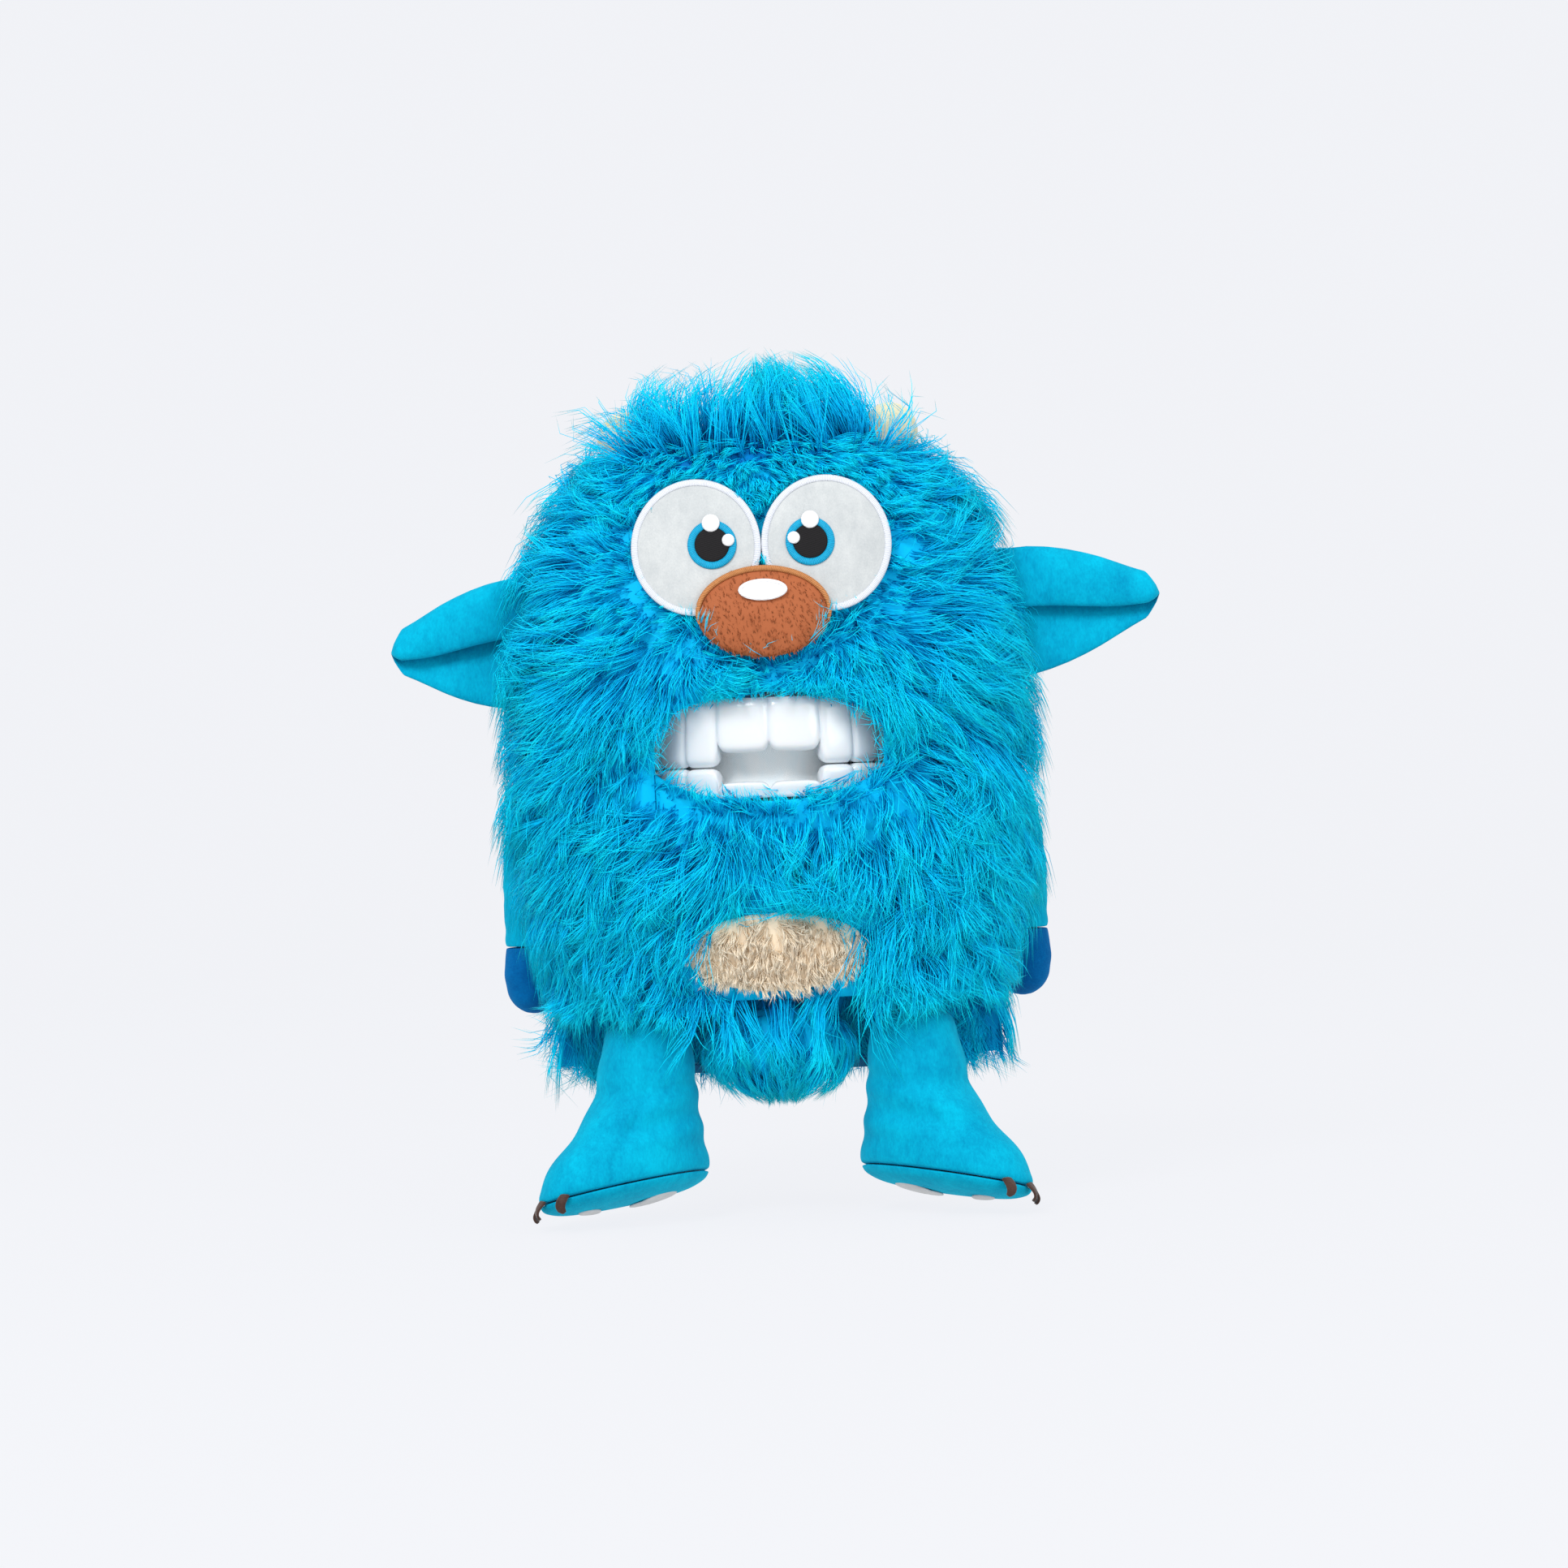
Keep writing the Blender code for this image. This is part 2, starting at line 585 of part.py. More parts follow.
def round_ring(middle, u_axis, v_axis, u_half, v_half, steps):
    """An oval ring round a point, spanned by two axes."""
    ring = []
    for turn in spread(0.0, 2 * math.pi, steps + 1)[:-1]:
        c, s = math.cos(turn) * u_half, math.sin(turn) * v_half
        ring.append(tuple(middle[k] + c * u_axis[k] + s * v_axis[k] for k in range(3)))
    return ring


def crown_z(x, y):
    """The height of the top of the head over (x, y)."""
    plan = (abs(x) / BODY_HALF_WIDTH) ** PLAN_POWER + (abs(y - BODY_MIDDLE_Y) / BODY_HALF_DEPTH) ** PLAN_POWER
    share = (1.0 - plan ** (DOME_POWER / PLAN_POWER)) ** (1.0 / DOME_POWER)
    return BODY_WIDEST_Z + (BODY_TOP_Z - BODY_WIDEST_Z) * share


def horns():
    """Two short blunt horns behind the fringe, their feet cut to the curve of the head."""
    lean = 0.42
    up = (math.sin(lean), 0.0, math.cos(lean))
    out = (math.cos(lean), 0.0, -math.sin(lean))
    x, y = HORN_AT
    foot = (x, y, crown_z(x, y) + 0.6)
    rings = [[(p[0], p[1], crown_z(p[0], p[1]) + 0.6) for p in round_ring(foot, (1, 0, 0), (0, 1, 0), 8.6, 9.6, 14)]]
    for along, width in ((5.0, 9.7), (9.0, 9.0), (12.6, 6.8), (14.6, 3.8)):
        middle = tuple(foot[k] + up[k] * along for k in range(3))
        rings.append(round_ring(middle, out, (0.0, 1.0, 0.0), width, width, 14))
    tip = tuple(foot[k] + up[k] * 15.4 for k in range(3))
    horn = stack(rings, foot, tip)
    new_solid("horn_left", "cream_plush", horn)
    new_solid("horn_right", "cream_plush", mirrored(horn))


def side_x(y, z):
    """Where the side of the head is at (y, z)."""
    wide, deep = half_sizes(z, 0.0, behind=y > BODY_MIDDLE_Y)
    return wide * (1.0 - (abs(y - BODY_MIDDLE_Y) / deep) ** PLAN_POWER) ** (1.0 / PLAN_POWER)


def ear_sheet(thick):
    """A cupped ear of two layers of plush, sewn along the side of the head and running out to a blunt tip.

    It is pinched flat at its root. Further out its rims curl forward, the top one more.
    """
    sheets = []
    for layer in (-0.5, 0.5):
        rows = []
        for along in spread(0.0, 1.0, 10):
            middle = EAR_PIVOT[2] - 1.0 - 2.0 * along
            half = 2.0 + 22.0 * max(0.0, 1.0 - along**1.6) ** 0.75
            open_out = math.sin(math.pi * min(1.0, along * 1.6) / 2) * (1.0 - 0.35 * along)
            rows.append([])
            for across in spread(-1.0, 1.0, 9):
                z = middle + half * across
                root = side_x(EAR_PIVOT[1], EAR_PIVOT[2] - 1.0 + 24.0 * across) + 2.2
                x = root + (EAR_TIP_X - root) * along
                curl = open_out * (6.0 * across * across + 6.0 * max(0.0, across) ** 2)
                bulk = thick * (0.8 + 0.2 * open_out) * (1.0 - 0.3 * across * across)
                rows[-1].append((x, EAR_PIVOT[1] + 5.0 * open_out - curl + layer * bulk, z))
        sheets.append(rows)
    return slab(*sheets)


def ears():
    for which, side in (("left", 1), ("right", -1)):
        pivot = (side * EAR_PIVOT[0], EAR_PIVOT[1], EAR_PIVOT[2])
        sheet = ear_sheet(5.0)
        new_solid(f"ear_{which}", "turquoise_plush", sheet if side > 0 else mirrored(sheet), pivot)


def arms():
    """Sleeves with mitts, hung from a gathered shoulder that turns against the side."""
    out = (*SHOULDER_OUT, 0.0)
    along = (-SHOULDER_OUT[1], SHOULDER_OUT[0], 0.0)
    steps = 16

    def ring(drop, thick, wide):
        middle = (SHOULDER[0], SHOULDER[1], SHOULDER[2] - drop)
        return round_ring(middle, out, along, thick, wide, steps)

    sleeve_shape = ((-5.2, 3.4, 3.7), (0.0, 6.2, 7.2), (10.0, 7.8, 10.6), (26.0, 8.9, 12.8), (51.6, 8.9, 12.6))
    sleeve_rings = [ring(*row) for row in sleeve_shape]
    sleeve = stack(sleeve_rings, (SHOULDER[0], SHOULDER[1], SHOULDER[2] + 6.5), None)
    mitt_rings = [ring(*row) for row in ((52.2, 9.2, 12.8), (62.0, 9.6, 13.6), (70.0, 9.0, 12.4), (75.5, 6.0, 8.6))]
    mitt = stack(mitt_rings, None, (SHOULDER[0], SHOULDER[1], SHOULDER[2] - 78.0))
    disc_rings = []
    for depth, radius in ((-9.1, 6.4), (-8.4, 7.2), (-7.6, 6.4)):
        middle = (SHOULDER[0] + out[0] * depth, SHOULDER[1] + out[1] * depth, SHOULDER[2])
        disc_rings.append(round_ring(middle, along, (0.0, 0.0, 1.0), radius, radius, 14))
    disc = stack(disc_rings)
    for which, side in (("left", 1), ("right", -1)):
        pivot = (side * SHOULDER[0], SHOULDER[1], SHOULDER[2])
        for name, look, shell in (
            ("shoulder_gather", "turquoise_plush", disc),
            ("arm", "turquoise_plush", sleeve),
            ("mitt", "navy_plush", mitt),
        ):
            new_solid(f"{name}_{which}", look, shell if side > 0 else mirrored(shell), pivot)


# Down the leg: height, half length along the foot, half width, and how far the middle moves to the toe.
LEG_SHAPE = (
    (16.0, 14.5, 14.5, 0.0),
    (4.0, 18.0, 17.5, 0.0),
    (-8.0, 19.5, 18.0, 1.0),
    (-19.0, 24.5, 19.0, 5.0),
    (-30.0, 31.5, 20.3, 9.5),
    (-41.0, 34.0, 20.8, 11.0),
)
SOLE_SHAPE = ((-41.6, 33.8, 20.6, 11.0), (-45.0, 31.0, 18.0, 11.0), (-47.5, 22.0, 11.5, 11.0))
LEG_SKIN = 2.4


def foot_point(along, across, height):
    """A point of the left foot from its own axes. Low on the foot the sole rolls to face in and forward."""
    splay = math.radians(FOOT_SPLAY)
    x = HIP[0] + math.sin(splay) * along + math.cos(splay) * across
    y = HIP[1] - math.cos(splay) * along + math.sin(splay) * across
    share = min(1.0, max(0.0, (4.0 - height) / 40.0))
    return x, y, height - share * (FOOT_ROLL * across + FOOT_DROOP * along)


def foot_ring(height, half_length, half_width, shift, inset=0.0, across=0.0, steps=22):
    ring = []
    for turn in spread(0.0, 2 * math.pi, steps + 1)[:-1]:
        u = shift + (half_length - inset) * math.cos(turn)
        v = across + (half_width - inset) * math.sin(turn)
        ring.append(foot_point(u, v, height))
    return ring


def claw_fan():
    """Three blunt ribbon claws on one strip, hanging from the toe end of the sole's seam."""
    sheets = []
    for back in (0.0, 1.3):
        rows = []
        for out in spread(0.0, 1.0, 4):
            rows.append([])
            for share in spread(-1.0, 1.0, 19):
                finger = abs(math.sin(1.5 * math.pi * (share + 1.0)))
                reach = out * (1.6 + 6.4 * finger**0.7)
                turn = 0.62 * share
                along = 11.0 + (35.9 + reach * 0.8 - back) * math.cos(turn)
                across = (22.7 + reach * 0.8 - back) * math.sin(turn)
                rows[-1].append(foot_point(along, across, -42.0 - 0.75 * reach + 0.4 * finger * (1.0 - out)))
        sheets.append(rows)
    return slab(*sheets)


def legs():
    """Each leg is a cloth skin with a filling, closed by a sole with felt pads and claws."""
    outer = [foot_ring(*row) for row in LEG_SHAPE]
    inner = [foot_ring(*row, inset=LEG_SKIN) for row in LEG_SHAPE]
    rim = [foot_ring(20.0, 9.0, 9.0, 0.0)], [foot_ring(18.0, 7.4, 7.4, 0.0)]
    leg_skin = tube(rim[0] + outer, rim[1] + inner)
    filling = stack(
        [foot_ring(14.5, 11.0, 11.0, 0.0)] + [foot_ring(*row, inset=LEG_SKIN + GAP) for row in LEG_SHAPE[1:]]
    )
    sole = stack([foot_ring(*row) for row in SOLE_SHAPE])

    def pad(along, across, half_length, half_width, corners):
        rings = [foot_ring(z, half_length, half_width, along, across=across, steps=corners) for z in (-47.9, -48.7)]
        return stack(rings)

    for which, side in (("left", 1), ("right", -1)):
        pivot = (side * HIP[0], HIP[1], HIP[2])
        for name, look, shell in (
            ("leg", "turquoise_plush", leg_skin),
            ("leg_stuffing", "fibre_fill", filling),
            ("sole", "turquoise_plush", sole),
            ("heel_pad", "white_felt", pad(0.0, -1.0, 9.0, 9.0, 16)),
            ("toe_pad", "white_felt", pad(26.5, -1.0, 4.4, 3.6, 12)),
            ("claws", "dark_felt", claw_fan()),
        ):
            new_solid(f"{name}_{which}", look, shell if side > 0 else mirrored(shell), pivot)


def build():
    for old in list(bpy.data.objects):
        bpy.data.objects.remove(old)
    fur_panels()
    fibre_blocks()
    seat()
    hand_parts()
    mouth_parts()
    teeth()
    chin()
    face_parts()
    horns()
    ears()
    arms()
    legs()


build()
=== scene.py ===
import math
import bpy
import numpy as np
from mathutils import Matrix, Vector


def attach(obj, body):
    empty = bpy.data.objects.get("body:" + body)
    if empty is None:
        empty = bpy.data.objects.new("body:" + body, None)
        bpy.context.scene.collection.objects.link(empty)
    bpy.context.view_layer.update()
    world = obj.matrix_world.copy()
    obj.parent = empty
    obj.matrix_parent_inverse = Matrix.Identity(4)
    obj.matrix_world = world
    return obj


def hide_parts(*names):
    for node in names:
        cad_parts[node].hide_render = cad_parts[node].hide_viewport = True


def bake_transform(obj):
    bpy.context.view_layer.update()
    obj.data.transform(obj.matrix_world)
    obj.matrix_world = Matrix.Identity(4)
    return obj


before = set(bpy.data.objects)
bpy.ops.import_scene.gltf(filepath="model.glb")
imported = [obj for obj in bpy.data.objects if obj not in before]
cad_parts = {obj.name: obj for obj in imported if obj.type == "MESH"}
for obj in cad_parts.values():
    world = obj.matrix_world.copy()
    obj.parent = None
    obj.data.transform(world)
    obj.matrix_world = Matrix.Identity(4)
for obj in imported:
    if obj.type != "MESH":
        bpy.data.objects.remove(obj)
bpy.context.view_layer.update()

# Lengths are in millimetres up to the mesh, and metres in it. x is across, -y is the front, z is up.
milli = 0.001
sides = ((1, "Left"), (-1, "Right"))
body = dict(
    halfWidth=94.0, halfDepth=50.0, middleY=-16.0, topZ=245.0, widestZ=110.0, keelZ=-22.0,
    planPower=2.4, domePower=2.8, keelPower=3.0, backTaper=0.12,
    muzzleSwell=7.0, muzzleZ=118.0, muzzleReachX=48.0, muzzleReachZ=34.0,
    lipLowZ=99.0, lipHighZ=139.0, lipCurve=15.0, mouthHalfWidth=47.0,
)


def smooth(low, high, value):
    # 0 below low, 1 above high, and an S-shaped step between
    share = np.clip((value - low) / (high - low), 0.0, 1.0)
    return share * share * (3.0 - 2.0 * share)


def circle(count):
    # equal steps once round, in radians
    return np.linspace(0.0, 2.0 * math.pi, count + 1)[:-1]


def unit(vectors):
    # each vector divided by its length
    return vectors / (np.linalg.norm(vectors, axis=-1, keepdims=True) + 1e-9)


def swell(z, inset=0.0):
    # fullness = (1 - share^power)^(1/power), with the share of the way from the widest height to an end
    up = np.clip((z - body["widestZ"]) / (body["topZ"] - inset - body["widestZ"]), 0.0, 1.0)
    down = np.clip((body["widestZ"] - z) / (body["widestZ"] - body["keelZ"]), 0.0, 1.0)
    high = (1.0 - up ** body["domePower"]) ** (1.0 / body["domePower"])
    low = (1.0 - down ** body["keelPower"]) ** (1.0 / body["keelPower"])
    return np.where(z >= body["widestZ"], high, low)


def muzzle(x, z, halfWidth):
    # swell * exp(-(x/reach)^2 - (z/reach)^2) * (1 - (x/half)^2)
    fade = np.maximum(0.0, 1.0 - (x / np.maximum(halfWidth, 1e-6)) ** 2)
    across = (x / body["muzzleReachX"]) ** 2
    return body["muzzleSwell"] * np.exp(-across - ((z - body["muzzleZ"]) / body["muzzleReachZ"]) ** 2) * fade


def skinPoint(turn, z, inset=0.0, full=None):
    # a super-oval plan, a * r * sin and b * r * cos with r = (|sin|^p + |cos|^p)^(-1/p), swollen by height
    full = swell(z, inset) if full is None else full
    s, c = np.sin(turn), np.cos(turn)
    taper = 1.0 - body["backTaper"] * ((body["widestZ"] - z) / body["widestZ"]) ** 2
    deep = np.where((c < 0) & (z < body["widestZ"]), taper, full)
    wide = (body["halfWidth"] - inset) * full
    power = body["planPower"]
    reach = (np.abs(s) ** power + np.abs(c) ** power) ** (-1.0 / power)
    x = wide * reach * s
    y = body["middleY"] - (body["halfDepth"] - inset) * deep * reach * c
    y = y - np.where(c > 0, muzzle(x, z, wide), 0.0)
    return np.stack(np.broadcast_arrays(x, y, z), axis=-1)


def frontY(x, z, lift=0.0):
    # the front of the body at (x, z), lifted towards the viewer
    full = swell(z)
    wide = body["halfWidth"] * full
    along = (1.0 - np.minimum(1.0, np.abs(x) / wide) ** body["planPower"]) ** (1.0 / body["planPower"])
    return body["middleY"] - body["halfDepth"] * full * along - muzzle(x, z, wide) - lift


def lipCurve(x):
    # curve * (1 - (1 - (x/half)^2)^0.6), so that the lips draw together at the corners
    return body["lipCurve"] * (1.0 - np.maximum(0.0, 1.0 - (x / body["mouthHalfWidth"]) ** 2) ** 0.6)


def turnAt(x, z):
    # the angle from the front at which the body's face is at x
    across = np.minimum(1.0, np.abs(x) / (body["halfWidth"] * swell(z)))
    return np.sign(x) * np.arctan2(across, (1.0 - across ** body["planPower"]) ** (1.0 / body["planPower"]))


def outward(points, faces):
    # faces turned over if the closed skin that they make has a negative volume: the sum of a . (b x c)
    square = faces[:, 2] != faces[:, 3]
    tris = np.concatenate([faces[:, :3], faces[square][:, [0, 2, 3]]])
    a, b, c = (points[tris[:, i]] for i in range(3))
    if np.einsum("ij,ij->i", a, np.cross(b, c)).sum() >= 0:
        return faces
    return np.where(square[:, None], faces[:, ::-1], faces[:, [0, 2, 1, 1]])


def makePiece(name, parts, material):
    # parts are (points, faces, fields); a face is a row of 4 corners, the last two the same in a triangle
    sizes = np.cumsum([0] + [len(part[0]) for part in parts])
    points = np.concatenate([part[0] for part in parts])
    faces = np.concatenate([outward(part[0], part[1]) + start for part, start in zip(parts, sizes)])
    square = faces[:, 2] != faces[:, 3]
    keep = np.ones(faces.shape, bool)
    keep[~square, 3] = False
    starts = np.concatenate([[0], np.cumsum(3 + square)[:-1]])
    mesh = bpy.data.meshes.new(name)
    mesh.vertices.add(len(points))
    mesh.vertices.foreach_set("co", (points * milli).astype(np.float32).ravel())
    mesh.loops.add(int(keep.sum()))
    mesh.loops.foreach_set("vertex_index", faces[keep].astype(np.int32))
    mesh.polygons.add(len(faces))
    mesh.polygons.foreach_set("loop_start", starts.astype(np.int32))
    mesh.polygons.foreach_set("use_smooth", np.ones(len(faces), bool))
    for field in parts[0][2]:
        layer = mesh.attributes.new(field, "FLOAT", "POINT")
        layer.data.foreach_set("value", np.concatenate([part[2][field] for part in parts]).astype(np.float32))
    mesh.update(calc_edges=True)
    mesh.validate()
    mesh.materials.append(material)
    piece = bpy.data.objects.new(name, mesh)
    bpy.context.scene.collection.objects.link(piece)
    return piece


def shellFaces(rows, columns):
    # a closed skin over rows of points, each row a loop, with a pole point at each end
    r, c = np.meshgrid(np.arange(rows - 1), np.arange(columns), indexing="ij")
    n = (c + 1) % columns
    corners = [r * columns + c, r * columns + n, (r + 1) * columns + n, (r + 1) * columns + c]
    walls = np.stack(corners, -1).reshape(-1, 4)
    i = np.arange(columns)
    j = (i + 1) % columns
    low, high, last = rows * columns, rows * columns + 1, (rows - 1) * columns
    start = np.stack([j, i, np.full(columns, low), np.full(columns, low)], -1)
    end = np.stack([last + i, last + j, np.full(columns, high), np.full(columns, high)], -1)
    return np.concatenate([walls, start, end])


def shellPart(rings, low=None, high=None, fields=None):
    # rings is rows x columns x 3; a pole that isn't given is the middle of its ring
    rows, columns = rings.shape[:2]
    low = rings[0].mean(0) if low is None else low
    high = rings[-1].mean(0) if high is None else high
    return np.concatenate([rings.reshape(-1, 3), [low], [high]]), shellFaces(rows, columns), fields or {}


def slabParts(outer, inner):
    # a closed wall between two grids of points, joined round their edges
    rows, columns = outer.shape[:2]
    points = np.concatenate([outer.reshape(-1, 3), inner.reshape(-1, 3)])
    back = rows * columns
    r, c = np.meshgrid(np.arange(rows - 1), np.arange(columns - 1), indexing="ij")
    a = (r * columns + c).ravel()
    b, d, e = a + 1, a + columns, a + columns + 1
    rim = np.concatenate([
        np.arange(columns), np.arange(1, rows) * columns + columns - 1,
        (rows - 1) * columns + np.arange(columns - 2, -1, -1), np.arange(rows - 2, 0, -1) * columns,
    ])
    nextRim = np.roll(rim, -1)
    faces = np.concatenate([
        np.stack([a, b, e, d], -1), np.stack([back + a, back + d, back + e, back + b], -1),
        np.stack([nextRim, rim, back + rim, back + nextRim], -1),
    ])
    return points, faces


class Wire:
    # one output socket; adding, taking away and multiplying it add Math nodes
    def __init__(self, recipe, socket):
        self.recipe, self.socket = recipe, socket

    def maths(self, kind, first, second):
        return self.recipe.node("ShaderNodeMath", dict(operation=kind), {0: first, 1: second})

    def __add__(self, other):
        return self.maths("ADD", self, other)

    def __sub__(self, other):
        return self.maths("SUBTRACT", self, other)

    def __rsub__(self, other):
        return self.maths("SUBTRACT", other, self)

    def __mul__(self, other):
        return self.maths("MULTIPLY", self, other)

    __radd__, __rmul__ = __add__, __mul__


class Recipe:
    # a material around one Principled shader, whose fixed values are set on its own sockets
    def __init__(self, name, **fixed):
        self.material = bpy.data.materials.new(name)
        self.material.use_nodes = True
        self.tree = self.material.node_tree
        self.tree.nodes.clear()
        self.shader = self.tree.nodes.new("ShaderNodeBsdfPrincipled")
        output = self.tree.nodes.new("ShaderNodeOutputMaterial")
        self.tree.links.new(self.shader.outputs[0], output.inputs[0])
        for socket, value in fixed.items():
            self.shader.inputs[socket.replace("_", " ")].default_value = value
        self.place = self.node("ShaderNodeTexCoord", out="Object")

    # kind is the node's type; settings are set first, then its sockets get values or links
    def node(self, kind, settings=None, inputs=None, out=0):
        made = self.tree.nodes.new(kind)
        for key, value in (settings or {}).items():
            if key == "stops":
                ramp = made.color_ramp.elements
                while len(ramp) < len(value):
                    ramp.new(0.5)
                for stop, (at, colour) in zip(ramp, value):
                    stop.position, stop.color = at, (*colour, 1.0)
            else:
                setattr(made, key, value)
        for key, value in (inputs or {}).items():
            if isinstance(value, Wire):
                self.tree.links.new(value.socket, made.inputs[key])
            else:
                made.inputs[key].default_value = value
        return Wire(self, made.outputs[out])

    def feed(self, socket, wire):
        self.tree.links.new(wire.socket, self.shader.inputs[socket])

    def noise(self, scale, detail=2.0, stretch=(1.0, 1.0, 1.0), rough=0.5):
        place = self.node("ShaderNodeMapping", None, {"Vector": self.place, "Scale": stretch})
        return self.node("ShaderNodeTexNoise", None,
            {"Vector": place, "Scale": scale, "Detail": detail, "Roughness": rough})

    def axis(self, which):
        return self.node("ShaderNodeSeparateXYZ", None, {0: self.place}, out=which)

    def field(self, name):
        return self.node("ShaderNodeAttribute", dict(attribute_name=name), out="Fac")

    def sine(self, wire):
        return self.node("ShaderNodeMath", dict(operation="SINE"), {0: wire})

    def ramp(self, share, *stops):
        return self.node("ShaderNodeValToRGB", dict(stops=stops), {0: share})

    def mix(self, share, first, second, kind="MIX"):
        colours = [v if isinstance(v, Wire) else (*v, 1.0) for v in (first, second)]
        return self.node("ShaderNodeMix", dict(data_type="RGBA", blend_type=kind),
            {0: share, 6: colours[0], 7: colours[1]}, out=2)

    def bump(self, height, strength, distance):
        sockets = {"Strength": strength, "Distance": distance * milli, "Height": height}
        made = self.node("ShaderNodeBump", None, sockets)
        self.feed("Normal", made)


def furCloth(name, deep, middle, light, warm, gloss=0.06):
    # hairs go from a dark root, painted shade among the hairs, to a light tip, and each lock has its own
    # shade of colour at random
    recipe = Recipe(name, Roughness=0.55, Specular_IOR_Level=gloss)
    along, shade = recipe.field("along"), recipe.field("shade")
    colour = recipe.ramp(along * 0.8 + shade * 0.28 - 0.06, (0.0, deep), (0.42, middle), (1.0, light))
    patch = recipe.noise(28.0, 2.0)
    recipe.feed("Base Color", recipe.mix(patch * 0.5, colour, recipe.mix(1.0, colour, warm, "MULTIPLY")))
    recipe.feed("Roughness", recipe.noise(90.0) * 0.25 + 0.45)
    return recipe.material


def plushCloth(name, deep, light, napScale=1500.0, napStretch=(1.0, 1.0, 0.45), napDepth=0.35, sheen=0.45,
    tint=(1.0, 1.0, 1.0)):
    # short pile: fine streaks of nap, soft mottling where it is brushed, and a sheen at the edges
    recipe = Recipe(name, Roughness=0.85, Specular_IOR_Level=0.04, Sheen_Weight=sheen, Sheen_Roughness=0.45,
        Sheen_Tint=(*tint, 1.0))
    nap = recipe.noise(napScale, 3.0, napStretch)
    brushed = recipe.noise(75.0, 3.0, (1.0, 1.0, 0.7))
    coarse = recipe.noise(420.0, 2.0, (1.0, 1.0, 0.6))
    share = nap * 0.55 + brushed * 0.9 + coarse * 0.45 - 0.45
    recipe.feed("Base Color", recipe.ramp(share, (0.2, deep), (0.8, light)))
    recipe.feed("Roughness", brushed * 0.2 + 0.72)
    recipe.bump(nap + coarse * 0.8, napDepth, 0.5)
    return recipe.material


def threadCloth(name, deep, light, middleX, middleZ, stitches=0, pitch=0.45, shine=0.35):
    # satin stitch: ridges round a centre when stitches is given, and level ridges otherwise
    recipe = Recipe(name, Roughness=shine, Specular_IOR_Level=0.25)
    across, up = recipe.axis("X"), recipe.axis("Z")
    if stitches:
        run = recipe.node("ShaderNodeMath", dict(operation="ARCTAN2"),
            {0: up - middleZ * milli, 1: across - middleX * milli}) * stitches
    else:
        run = up - middleZ * milli + recipe.noise(60.0) * 0.0012 + across * 0.25
        run = run * (2.0 * math.pi / (pitch * milli))
    ridge = recipe.sine(run) * 0.5 + 0.5
    strand = recipe.noise(900.0, 2.0)
    # the colour follows the ridges as well as the fibre noise: a painted highlight on each stitch's crest and
    # painted shade in the grooves between
    recipe.feed("Base Color", recipe.ramp(ridge * 0.6 + strand * 0.5, (0.15, deep), (0.75, light)))
    recipe.feed("Roughness", strand * 0.3 + shine)
    recipe.bump(ridge + strand * 0.6, 0.6, 0.25)
    return recipe.material


def wovenCloth(name, deep, light, pitch=0.7):
    # over-and-under weave: the sines of two directions multiplied
    recipe = Recipe(name, Roughness=0.8, Specular_IOR_Level=0.2)
    turn = 2.0 * math.pi / (pitch * milli)
    wobble = recipe.noise(120.0) * 1.2
    first = recipe.sine(recipe.axis("X") * turn + wobble)
    second = recipe.sine((recipe.axis("Z") + recipe.axis("Y")) * turn + wobble)
    weave = first * second * 0.5 + 0.5
    slub = recipe.noise(250.0, 3.0, (1.0, 1.0, 0.3))
    # the colour follows the weave as well as the slub: the crossings painted lighter and the dips darker, as
    # painted shade
    recipe.feed("Base Color", recipe.ramp(weave * 0.4 + slub * 0.7, (0.2, deep), (0.85, light)))
    recipe.feed("Roughness", slub * 0.2 + 0.68)
    recipe.bump(weave + slub * 0.5, 0.4, 0.3)
    return recipe.material


def paleRubber(name):
    # moulded soft plastic: nearly white, with a painted bluish shade in its hollows, and a wet-looking coat
    recipe = Recipe(name, Roughness=0.2, Specular_IOR_Level=0.55, Coat_Weight=0.5, Coat_Roughness=0.08,
        Subsurface_Weight=0.12, Subsurface_Scale=0.004)
    cloud = recipe.noise(60.0, 2.0)
    hollow = recipe.field("hollow")
    tone = recipe.mix(cloud * 0.5, (0.76, 0.785, 0.81), (0.72, 0.75, 0.78))
    recipe.feed("Base Color", recipe.mix(hollow, tone, (0.60, 0.66, 0.73)))
    recipe.feed("Roughness", cloud * 0.12 + 0.12)
    recipe.bump(recipe.noise(140.0, 3.0), 0.08, 0.4)
    return recipe.material


def fibreFill(name):
    # loose white filling: stretched noise, from painted grey shade in its hollows to pale strands
    recipe = Recipe(name, Roughness=0.9, Specular_IOR_Level=0.1)
    tangle = recipe.noise(260.0, 5.0, (1.0, 2.2, 1.0), 0.65)
    recipe.feed("Base Color", recipe.ramp(tangle, (0.3, (0.55, 0.56, 0.58)), (0.7, (0.86, 0.87, 0.88))))
    recipe.feed("Roughness", tangle * 0.2 + 0.75)
    recipe.bump(tangle, 0.7, 2.0)
    return recipe.material


